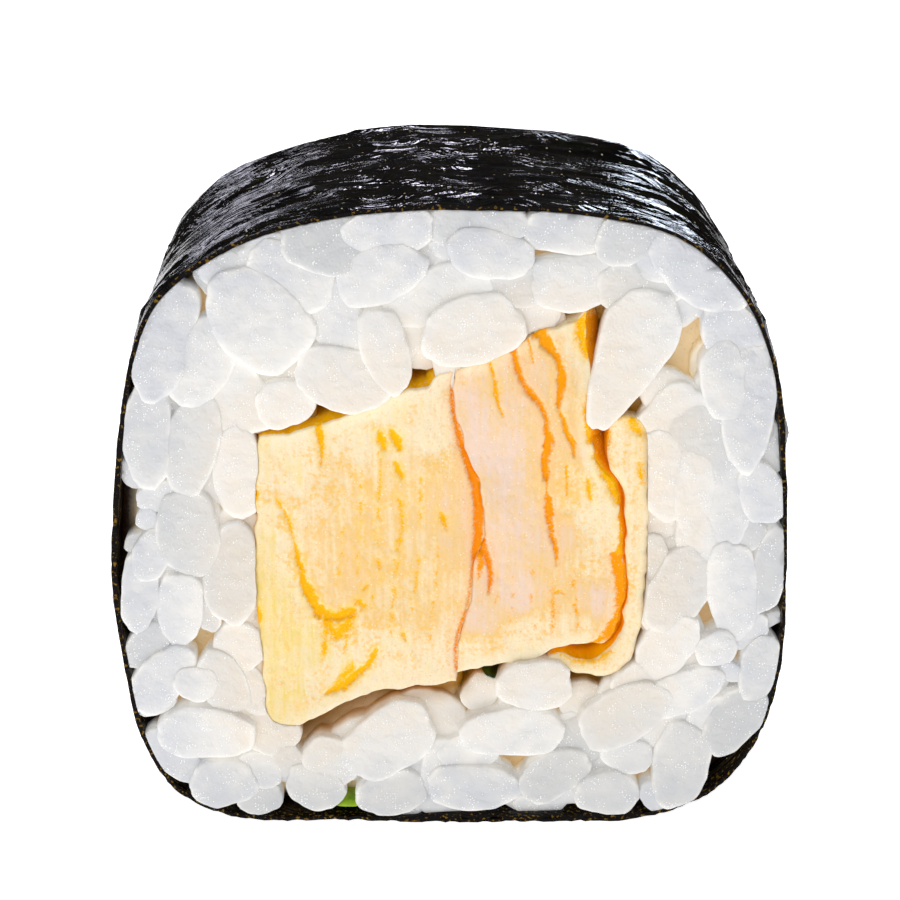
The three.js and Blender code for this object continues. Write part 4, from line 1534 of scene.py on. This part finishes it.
    def build(self, material: Material) -> Object:
        """Builds the block: both cut faces, the back one at half the grid, and uneven sides between them.

        Args:
            material: its finish.

        Returns:
            The piece.
        """
        grid = self.patch()
        half_grid = grid[::2, ::2]
        front, back = self.cut_face(grid, -1), self.cut_face(half_grid, 1)
        front_ring = self.border(*grid.shape[:2])
        walls = self.walls(grid.reshape(-1, 2)[front_ring], *grid.shape[:2])
        back.quads = back.quads[:, ::-1]
        walls.quads = walls.quads[:, ::-1]
        whole = front.joined(back).joined(walls)
        start = len(front.places) + len(back.places)
        first = np.arange(len(front_ring)) + start
        last = first + (self.rows - 1) * len(front_ring)
        on, first_on = np.roll(front_ring, -1), np.roll(first, -1)
        whole.quads = np.vstack([whole.quads, np.column_stack([front_ring, first, first_on, on])])
        back_ring = self.border(*half_grid.shape[:2]) + len(front.places)
        whole.triangles = stitch(last, back_ring)[:, ::-1]
        return whole.piece(self.name, material)


# The three blocks, each with its sides, seams and tints in the photo's pixels. The first line is the one
# between the core and the folds, from the bottom up.
CORE_TO_FOLDS = (
    (457.6, 670.4), (457.5, 650.7), (459.8, 636.7), (462.9, 622.7), (468.4, 605.8), (474.6, 566.6),
    (479.5, 551), (482.6, 538.5), (483.6, 521.7), (483.4, 502), (479.2, 479.6), (471.5, 459.9),
    (463.2, 440.3), (456.7, 417.8), (453.4, 392.6), (457, 370),
)
EGG_CORE = dict(
    name="omelette_core", node="egg_core", seed=60,
    left=((280, 724), (269, 715), (265, 687), (261, 651), (257, 609), (255, 552), (257, 496), (258, 457),
          (259, 438)),
    right=((457.6, 681),) + CORE_TO_FOLDS,
    bottom=((280, 724), (296, 725), (324, 715), (352, 701), (366, 694), (408, 688), (436, 685), (457.6, 681)),
    top=((259, 438), (283, 434), (307, 429), (338, 420), (374, 406), (392, 396), (408, 390), (430, 387),
         (440, 376), (457, 370)),
    seams=(
        Seam(((455.5, 370), (451.8, 392.6), (454.6, 417.8), (460.3, 440.3), (467.3, 459.9), (474.3, 479.6),
             (478.5, 502), (478.5, 521.7), (478, 538.5), (472.9, 566.6), (467.3, 605.8), (461.7, 622.7),
             (457.5, 636.7), (455.5, 650.7), (456.6, 670.4)), (0.22, 0.25, 0.32, 0.42, 0.6, 0.74, 0.76,
             0.74, 0.62, 0.24, 0.16, 0.16, 0.3, 0.24, 0.2), 0.3, 1.0, 0, 0.15),
        Seam(((317, 423), (320, 436), (322, 452), (321, 466)), (0.6, 0.42, 0.24, 0.12), 0.2, 0.1, 0, 0.4,
             0.14),
        Seam(((276, 500), (279, 504), (281, 509)), (0.12, 0.22, 0.1), 0.1, 0.1),
        Seam(((284, 511), (287, 519), (290, 527), (293, 538)), (0.16, 0.3, 0.2, 0.12), 0.15, 0.1, 0.1, 0.5),
        Seam(((293, 538), (296, 550), (299, 562), (303, 571)), (0.12, 0.2, 0.46, 0.4), 0.15, 0.12, 0, 0.5),
        Seam(((302, 574), (304, 583), (309, 593), (315, 605), (321, 612)), (0.42, 0.7, 0.9, 0.8, 0.7), 0.2,
             0.15, 0, 0.4, 0.14),
        Seam(((320, 612), (327, 616), (336, 618), (346, 615), (354, 611)), (0.9, 0.9, 0.7, 0.9, 0.4), 0.25,
             0.15, 0, 0.4, 0.2),
        Seam(((324, 616), (330, 628), (338, 634), (346, 626), (351, 615)), (0.8, 1.1, 1.0, 1.0, 0.5), 0.1,
             0.1, 0.1, 0.6, 0.55),
        Seam(((326, 630), (325, 645), (323, 660)), (0.4, 0.3, 0.12), 0.05, 0.05, 0.3, 0.8, 0.3),
        Seam(((344, 632), (346, 643), (344, 652)), (0.5, 0.3, 0.12), 0.05, 0.05, 0.3, 0.8, 0.3),
        Seam(((354, 606), (358, 601), (362, 606)), (0.2, 0.45, 0.25), 0.1, 0.1, 0.1, 0.6),
        Seam(((361, 611), (365, 606)), (0.16, 0.3), 0.1, 0.1),
        Seam(((364, 590), (367, 586)), (0.26, 0.2), 0.1, 0.1),
        Seam(((380, 452), (380, 480), (379, 500), (379, 520), (378, 545)), (0.22, 0.16, 0.22, 0.2, 0.16),
             0.08, 0.05, 0.5, 0.8, 0.26),
        Seam(((377, 556), (380, 575), (374, 590), (371, 606)), (0.16, 0.22, 0.16, 0.18), 0.08, 0.1, 0.5,
             0.8, 0.26),
        Seam(((400, 498), (402, 517), (401, 534), (398, 552), (396, 572)), (0.28, 0.22, 0.26, 0.32, 0.2),
             0.1, 0.1, 0.35, 0.8, 0.26),
        Seam(((396, 575), (395, 590), (393, 606), (392, 620), (391, 636)), (0.16, 0.24, 0.14, 0.2, 0.1),
             0.1, 0.1, 0.4, 0.8, 0.26),
        Seam(((379, 433), (382, 441), (385, 448)), (0.4, 0.75, 0.3), 0.12, 0.0, 0, 0.4, 0.16),
        Seam(((391, 430), (395, 438), (400, 448)), (0.25, 0.8, 0.4), 0.12, 0.0, 0, 0.4, 0.14),
        Seam(((395, 462), (398, 469), (402, 477)), (0.2, 0.5, 0.3), 0.12, 0.05, 0, 0.4, 0.12),
        Seam(((421, 478), (421, 500), (420, 522)), (0.16, 0.2, 0.16), 0.06, 0.15, 0.5, 0.8, 0.26),
        Seam(((419, 556), (416, 585), (412, 612)), (0.16, 0.22, 0.16), 0.06, 0.15, 0.5, 0.8, 0.26),
        Seam(((341, 505), (343, 540), (339, 575)), (0.12, 0.16, 0.12), 0.03, 0.1, 0.6, 0.9, 0.26),
        Seam(((358, 470), (361, 500), (359, 540), (357, 575)), (0.12, 0.16, 0.14, 0.12), 0.03, 0.1, 0.6,
             0.9, 0.26),
        Seam(((436, 540), (437, 575), (432, 610), (430, 640)), (0.1, 0.14, 0.14, 0.1), 0.03, 0.2, 0.6, 0.9,
             0.26),
        Seam(((441, 513), (444, 521), (446, 529)), (0.2, 0.5, 0.2), 0.1, 0.2, 0, 0.5),
        Seam(((403, 634), (406, 641)), (0.3, 0.15), 0.08, 0.1),
        Seam(((376, 650), (373, 657), (368, 666)), (0.3, 0.4, 0.4), 0.15, 0.0, 0, 0.3, 0.12),
        Seam(((368, 666), (357, 675), (345, 685), (326, 694)), (0.4, 0.6, 0.7, 0.2), 0.2, 0.05, 0, 0.35,
             0.16),
        Seam(((352, 668), (345, 676), (338, 684)), (0.5, 0.6, 0.3), 0.1, 0.0, 0, 0.4, 0.4),
        Seam(((257, 492), (257, 500)), (0.3, 0.2), 0.1, 0.1),
        Seam(((257, 608), (259, 617), (258, 626)), (0.3, 0.45, 0.2), 0.1, 0.15),
    ),
    tints=(
        (268, 448, 0.34), (300, 440, 0.36), (290, 470, 0.3), (268, 520, 0.26), (290, 505, 0.5),
        (262, 560, 0.22), (272, 600, 0.16), (285, 640, 0.12), (275, 680, 0.16), (290, 700, 0.2),
        (300, 660, 0.22), (320, 680, 0.3), (345, 700, 0.32), (350, 440, 0.42), (330, 480, 0.55),
        (330, 540, 0.66), (345, 590, 0.68), (310, 540, 0.55), (370, 500, 0.6), (400, 560, 0.64),
        (390, 610, 0.62), (390, 660, 0.36), (430, 430, 0.42), (410, 470, 0.62), (430, 520, 0.68),
        (455, 500, 0.74), (440, 600, 0.66), (440, 665, 0.4), (410, 405, 0.34),
    ),
)
EGG_FOLDS = dict(
    name="omelette_folds", node="egg_folds", seed=70,
    stand_out=(0.3, 0.95, 0.3, 0.0), wall_heat=(0.1, 0.7, 0.1, 1.0), crust=(0.9, 0.9, 0.8, 0.0),
    wall_gold=(1.0, 1.0, 0.1, 1.0),
    left=((457.6, 672),) + CORE_TO_FOLDS[1:],
    right=((604, 644), (614, 632), (621, 612), (624, 590), (625, 568), (622, 548), (621, 520), (619, 503),
           (614, 485), (603, 470), (595, 455), (591, 441), (590, 420), (592, 392), (591, 364), (587, 340),
           (585, 311)),
    bottom=((457.6, 672), (478, 668), (500, 665), (520, 662), (540, 656), (551, 649), (571, 647), (604, 644)),
    top=((457, 370), (485, 360), (512, 347), (530, 335), (543, 330), (557, 328), (574, 321), (585, 311)),
    seams=(
        Seam(((478.5, 534), (483, 548), (488, 561), (490.6, 578), (488.6, 593)), (0.8, 0.6, 0.42, 0.35,
             0.12), 0.3, 0.95, 0, 0.15),
        Seam(((480, 548), (481, 562), (479, 576)), (0.5, 0.6, 0.2), 0.1, 0.8, 0.1, 0.5, 0.3),
        Seam(((513, 343), (515, 357), (519, 372), (525, 386), (533, 396), (541, 406), (546, 418),
             (547, 430)), (0.46, 0.4, 0.38, 0.38, 0.42, 0.36, 0.34, 0.3), 0.25, 0.75, 0, 0.25),
        Seam(((547, 428), (549, 438), (547, 452), (545, 464), (546, 478)), (0.34, 0.66, 0.56, 0.5, 0.4),
             0.25, 0.7, 0, 0.35),
        Seam(((547, 480), (547, 492), (548, 500)), (0.14, 0.12, 0.3), 0.1, 0.6, 0.1, 0.4),
        Seam(((548, 498), (549, 506), (550, 520), (552, 535), (556, 552), (557, 565)), (0.5, 0.62, 0.4,
             0.34, 0.26, 0.12), 0.2, 0.75, 0, 0.35),
        Seam(((555, 578), (553, 600), (553, 618), (552, 632)), (0.16, 0.14, 0.26, 0.12), 0.06, 0.5, 0.4,
             0.8, 0.26),
        Seam(((534, 336), (539, 334), (543, 338)), (0.4, 0.9, 0.8), 0.15, 0.6, 0, 0.5, 0.16),
        Seam(((541, 333), (546, 342), (552, 351), (558, 360), (561, 372), (561, 386), (559, 398),
             (558, 408)), (0.7, 0.95, 0.56, 0.4, 0.6, 0.6, 0.34, 0.24), 0.25, 0.6, 0, 0.3),
        Seam(((559, 410), (564, 422), (567, 434), (572, 442), (574, 456)), (0.2, 0.32, 0.28, 0.42, 0.14),
             0.2, 0.55, 0, 0.4),
        Seam(((566, 466), (567, 480), (567, 496)), (0.24, 0.16, 0.14), 0.08, 0.4, 0.3, 0.7, 0.14),
        Seam(((490, 364), (493, 374), (496, 387)), (0.2, 0.22, 0.16), 0.1, 0.35, 0.1, 0.5, 0.12),
        Seam(((495, 382), (496, 390), (497, 400), (503, 416)), (0.3, 0.34, 0.18, 0.1), 0.1, 0.35, 0.1, 0.5,
             0.12),
        Seam(((528, 340), (531, 350), (533, 362)), (0.14, 0.2, 0.12), 0.06, 0.5, 0.3, 0.7, 0.14),
        Seam(((574, 572), (573, 590), (576, 610), (578, 625)), (0.14, 0.22, 0.24, 0.12), 0.06, 0.45, 0.4,
             0.8, 0.26),
        Seam(((588, 480), (589, 492), (591, 501)), (0.22, 0.34, 0.16), 0.1, 0.15, 0, 0.5, 0.14),
        Seam(((552, 595), (558, 592), (565, 594)), (0.1, 0.26, 0.1), 0.08, 0.3, 0.1, 0.5),
        Seam(((510, 560), (513, 590), (511, 620)), (0.1, 0.14, 0.1), 0.03, 0.4, 0.65, 0.9, 0.26),
        Seam(((533, 560), (532, 600), (536, 630)), (0.1, 0.12, 0.1), 0.03, 0.4, 0.65, 0.9, 0.26),
        Seam(((497, 596), (495, 620), (497, 645)), (0.1, 0.14, 0.1), 0.03, 0.4, 0.65, 0.9, 0.26),
        Seam(((583, 316), (581, 330), (584, 345), (587, 356)), (0.5, 0.8, 0.7, 0.4), 0.1, 0.1, 0, 0.4, 0.3),
        Seam(((588, 398), (587, 412), (589, 425), (589, 440)), (0.3, 0.45, 0.55, 0.4), 0.12, 0.25, 0, 0.4,
             0.2),
        Seam(((595, 455), (604, 469), (611, 479), (616, 490), (619, 502)), (0.4, 0.7, 1.0, 1.0, 0.5), 0.15,
             0.15, 0, 0.3, 0.25),
        Seam(((620, 515), (621, 535), (620, 552)), (0.3, 0.3, 0.6), 0.1, 0.4, 0, 0.4, 0.16),
        Seam(((617, 556), (619, 566), (621, 580), (621, 600), (619, 615), (609, 634)), (0.9, 1.1, 0.9, 0.8,
             0.7, 0.9), 0.12, 0.75, 0, 0.35, 0.18),
        Seam(((590, 644), (598, 641), (607, 634)), (0.2, 0.5, 0.6), 0.1, 0.6, 0, 0.4, 0.2),
    ),
    tints=(
        (462, 400, 0.9), (475, 420, 0.95), (485, 455, 0.98), (480, 385, 0.85), (495, 490, 0.9),
        (500, 380, 0.8), (520, 420, 0.84), (512, 460, 0.9), (520, 520, 0.93), (535, 380, 0.85),
        (570, 350, 0.5), (575, 400, 0.62), (577, 440, 0.8), (520, 590, 0.92), (480, 620, 0.86),
        (480, 650, 0.42), (525, 640, 0.38), (565, 540, 0.8), (595, 520, 0.38), (598, 560, 0.5),
        (600, 600, 0.85), (580, 635, 0.5), (582, 325, 0.4), (560, 480, 0.62), (590, 480, 0.42),
    ),
)
EGG_WRAP = dict(
    name="omelette_wrap", node="egg_wrap", seed=80,
    stand_out=(0.0, 0.0, 0.0, 0.25), wall_heat=(0.4, 0.1, 0.6, 0.7), crust=(0.3, 0.6, 0.3, 0.2),
    wall_gold=(0.3, 0.0, 0.1, 1.0), gold_up_to=14.6,
    left=((549, 655), (560, 654), (575, 660), (595, 660), (609, 648), (620, 632), (625, 610), (627.5, 580),
          (626, 552), (626, 520), (624, 493), (616, 482), (609, 468), (608, 445), (608, 424)),
    right=((548, 660), (571, 671), (590, 676), (605, 676), (628, 663), (638, 637), (642, 620), (647, 580),
           (648, 540), (648, 496), (648, 460), (646, 430), (638, 419)),
    bottom=((549, 655), (547, 657), (548, 660)),
    top=((608, 424), (616, 419), (628, 417), (638, 419)),
    seams=(
        Seam(((632, 419), (635, 428), (641, 434)), (0.5, 0.6, 0.4), 0.15, 0.05, 0.1, 0.5),
        Seam(((609, 427), (608, 445), (610, 462)), (0.15, 0.22, 0.12), 0.1, 0.5, 0, 0.5),
        Seam(((560, 655), (577, 662), (599, 660), (612, 651)), (0.1, 0.22, 0.26, 0.2), 0.1, 0.1, 0, 0.5),
        Seam(((640, 452), (641, 480), (640, 505)), (0.14, 0.2, 0.14), 0.05, 0.1, 0.5, 0.8),
    ),
    tints=(
        (620, 440, 0.4), (640, 430, 0.55), (640, 500, 0.36), (638, 580, 0.36), (630, 640, 0.36),
        (600, 668, 0.4), (565, 664, 0.36),
    ),
)


# ---------------------------------------------------------------- garnish


@dataclass(frozen=True)
class GreenLeaf:
    """A scrap of cooked green leaf: thin, moist and veined, darker where it is thick."""

    name: str
    fresh: str
    dark: str

    def make(self) -> Material:
        """Makes the material.

        Returns:
            The material.
        """
        m = new_material(self.name)
        where = add(m, "TexCoord").outputs["Object"]
        veins = add(m, "TexNoise", (where, 1 / (0.9 * MM), 3))
        colour = add(m, "ValToRGB", {"Fac": veins}, ((0.4, self.dark), (0.6, self.fresh)))
        bump = add(m, "Bump", {"Height": veins, "Strength": 1.0, "Distance": 0.1 * MM})
        shader = add(m, "BsdfPrincipled", {"Base Color": colour, "Roughness": 0.35, "Normal": bump})
        add(m, "OutputMaterial", {"Surface": shader})
        return m


@dataclass
class LeafScrap:
    """A thin wavy scrap of leaf that lies between the grains."""

    name: str
    node: str
    middle: tuple[float, float, float]
    size: tuple[float, float, float]  # across, along the roll, and thick
    wave: float
    lean: float  # rise across its width

    def build(self, material: Material) -> Object:
        """Builds the scrap: a closed tube of flat oval sections along the roll, lifted by two waves.

        Args:
            material: its finish.

        Returns:
            The piece.
        """
        around, along = 28, 40
        turn = np.arange(around) / around * 2 * np.pi
        share = np.linspace(-1, 1, along)[:, None]
        narrow = (1 - np.abs(share) ** 3.5) ** 0.5 * 0.95 + 0.05
        across, length, thick = (s / 2 for s in self.size)
        x = across * narrow * np.cos(turn)[None, :]
        y = np.broadcast_to(length * share, x.shape)
        lift = self.wave * (np.sin(y * 1.7) + np.cos(x * 2.6 + 1)) + self.lean * x
        z = thick * np.sin(turn)[None, :] * narrow + lift
        places = np.stack([x + self.middle[0], y + self.middle[1], z + self.middle[2]], -1).reshape(-1, 3)
        tips = places.reshape(along, around, 3)[[0, -1]].mean(1)
        quads = grid_quads(along, around, wrap_columns=True)
        i, last, count = np.arange(around), (along - 1) * around, along * around
        on = (i + 1) % around
        ends = np.vstack([np.column_stack([i * 0 + count, on, i]),
                          np.column_stack([i * 0 + count + 1, last + i, last + on])])
        return Surface(np.vstack([places, tips]), quads[:, ::-1], ends[:, ::-1]).piece(self.name, material)


# ---------------------------------------------------------------- studio


@dataclass(frozen=True)
class Softbox:
    """A square studio light: where it stands, its side, its brightness and its colour."""

    name: str
    place: tuple[float, float, float]
    side: float
    brightness: float  # radiance of its face
    colour: str = "#ffffff"
    aim: tuple[float, float, float] = (0, 0, 25)

    def build(self) -> Object:
        """Makes the light, turned to what it is aimed at.

        Returns:
            The light.
        """
        light = bpy.data.lights.new(self.name, "AREA")
        light.size = self.side * MM
        light.energy = self.brightness * math.pi * (self.side * MM) ** 2
        light.color = linear(self.colour)[:3]
        lamp = linked(self.name, light)
        place = np.array(self.place, float)
        lamp.location = place * MM
        sight = np.array(self.aim, float) - place
        level = math.hypot(sight[0], sight[1])
        lamp.rotation_euler = (math.atan2(level, -sight[2]), 0, math.atan2(-sight[0], sight[1]))
        return lamp


@dataclass
class Studio:
    """A plain pale floor, soft lights and a pale surround."""

    floor_side: float = 6000.0
    floor: str = "#f7f7f7"
    surround: str = "#ffffff"
    floor_glow: float = 0.95
    surround_brightness: float = 0.04
    softboxes: tuple[Softbox, ...] = (
        Softbox("front_softbox", (-500, -1500, 750), 1300, 2.3),
        Softbox("top_softbox", (-100, 250, 1000), 260, 32.0, "#f8f7ff"),
        Softbox("back_right_softbox", (430, 1250, 320), 260, 12.0, "#e4efff"),
        Softbox("back_left_softbox", (-470, 1200, 400), 320, 2.8, "#efefff"),
    )

    def build(self) -> None:
        """Builds the studio."""
        half = self.floor_side / 2 * MM
        mesh = bpy.data.meshes.new("floor")
        corners = [(-half, -half, 0), (half, -half, 0), (half, half, 0), (-half, half, 0)]
        mesh.from_pydata(corners, [], [(0, 1, 2, 3)])
        m = new_material("pale_floor")
        shader = add(m, "BsdfPrincipled", {"Base Color": self.floor, "Roughness": 0.9,
                                           "Specular IOR Level": 0.0, "Emission Color": self.floor,
                                           "Emission Strength": self.floor_glow})
        add(m, "OutputMaterial", {"Surface": shader})
        mesh.materials.append(m)
        linked("floor", mesh)
        for softbox in self.softboxes:
            softbox.build()
        world = bpy.data.worlds.new("surround")
        world.use_nodes = True
        background = world.node_tree.nodes["Background"]
        background.inputs["Color"].default_value = linear(self.surround)
        background.inputs["Strength"].default_value = self.surround_brightness
        bpy.context.scene.world = world
        bpy.context.scene.view_settings.view_transform = "Standard"


# ---------------------------------------------------------------- the slice


def dress(piece: Object, slot: str, *nodes: str) -> None:
    """Puts a piece on the part's body, in place of its nodes.

    Args:
        piece: the piece.
        slot: not used.
        nodes: what it replaces.
    """
    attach(piece, BODY)
    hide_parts(*nodes)


def egg_bed() -> Array:
    """Draws the loop round all the omelette.

    Returns:
        Its places in mm, in order.
    """
    corners = (
        (-14.0, 33.2), (-14.8, 22.7), (-14.3, 11.0), (-12.8, 8.6), (-9.0, 9.3), (-3.0, 11.9), (0.3, 12.4),
        (7.0, 13.4), (10.5, 11.9), (13.2, 13.4), (14.4, 17.0), (14.6, 25.0), (14.3, 31.5), (13.4, 34.2),
        (11.2, 35.0), (10.2, 41.8), (6.0, 40.8), (0.4, 38.0), (-4.0, 36.3), (-9.0, 34.3))
    return through(np.array(corners), closed=True, steps=16)


def folds_and_wrap(view: Viewpoint) -> Array:
    """Draws the loop round the folds and the wrap, with the gap between them.

    Args:
        view: where the photo was taken from.

    Returns:
        Its places on the cut face, in mm.
    """
    over_gap = ((590, 392), (604, 417))
    pixels = (EGG_FOLDS["left"] + EGG_FOLDS["top"][1:] + over_gap + EGG_WRAP["top"]
              + EGG_WRAP["right"][-2::-1] + EGG_FOLDS["bottom"][-3:0:-1])
    return spaced(through(view.on_plane(pixels, -EGG_FRONT), closed=False), 240)


def main() -> None:
    """Builds the studio, the seaweed, the rice, the omelette and the scraps of leaf, in that order."""
    logging.basicConfig(level=logging.INFO, format="%(name)s: %(message)s")
    view = Viewpoint()
    view.camera()
    Studio().build()
    outline = RollOutline()
    dress(SeaweedSheet(outline).build(ToastedSeaweed().make()), "seaweed", "nori")
    blocks = [OmeletteBlock(view=view, **measures) for measures in (EGG_CORE, EGG_FOLDS, EGG_WRAP)]
    bed = RiceBed(outline, view, (blocks[0].outline(), folds_and_wrap(view)), egg_bed())
    for piece in bed.build(CookedRice().make()):
        dress(piece, "rice", "rice")
    omelette = RolledOmelette().make()
    for block in blocks:
        dress(block.build(omelette), "egg", block.node)
    egg_leaf = LeafScrap("leaf_by_omelette", "leaf_by_egg", (3.1, -8.1, 12.55), (1.9, 7.4, 0.6), 0.12, 0.0)
    dress(egg_leaf.build(GreenLeaf("dark_leaf", "#2f5c12", "#0c2206").make()), "leaf", egg_leaf.node)
    base_leaf = LeafScrap("leaf_on_base", "leaf_by_base", (-7.9, -8.5, 1.4), (2.9, 7.0, 0.7), 0.15, 0.25)
    dress(base_leaf.build(GreenLeaf("bright_leaf", "#9bbf0c", "#6c9a0c").make()), "leaf", base_leaf.node)


if __name__ == "__main__":
    main()
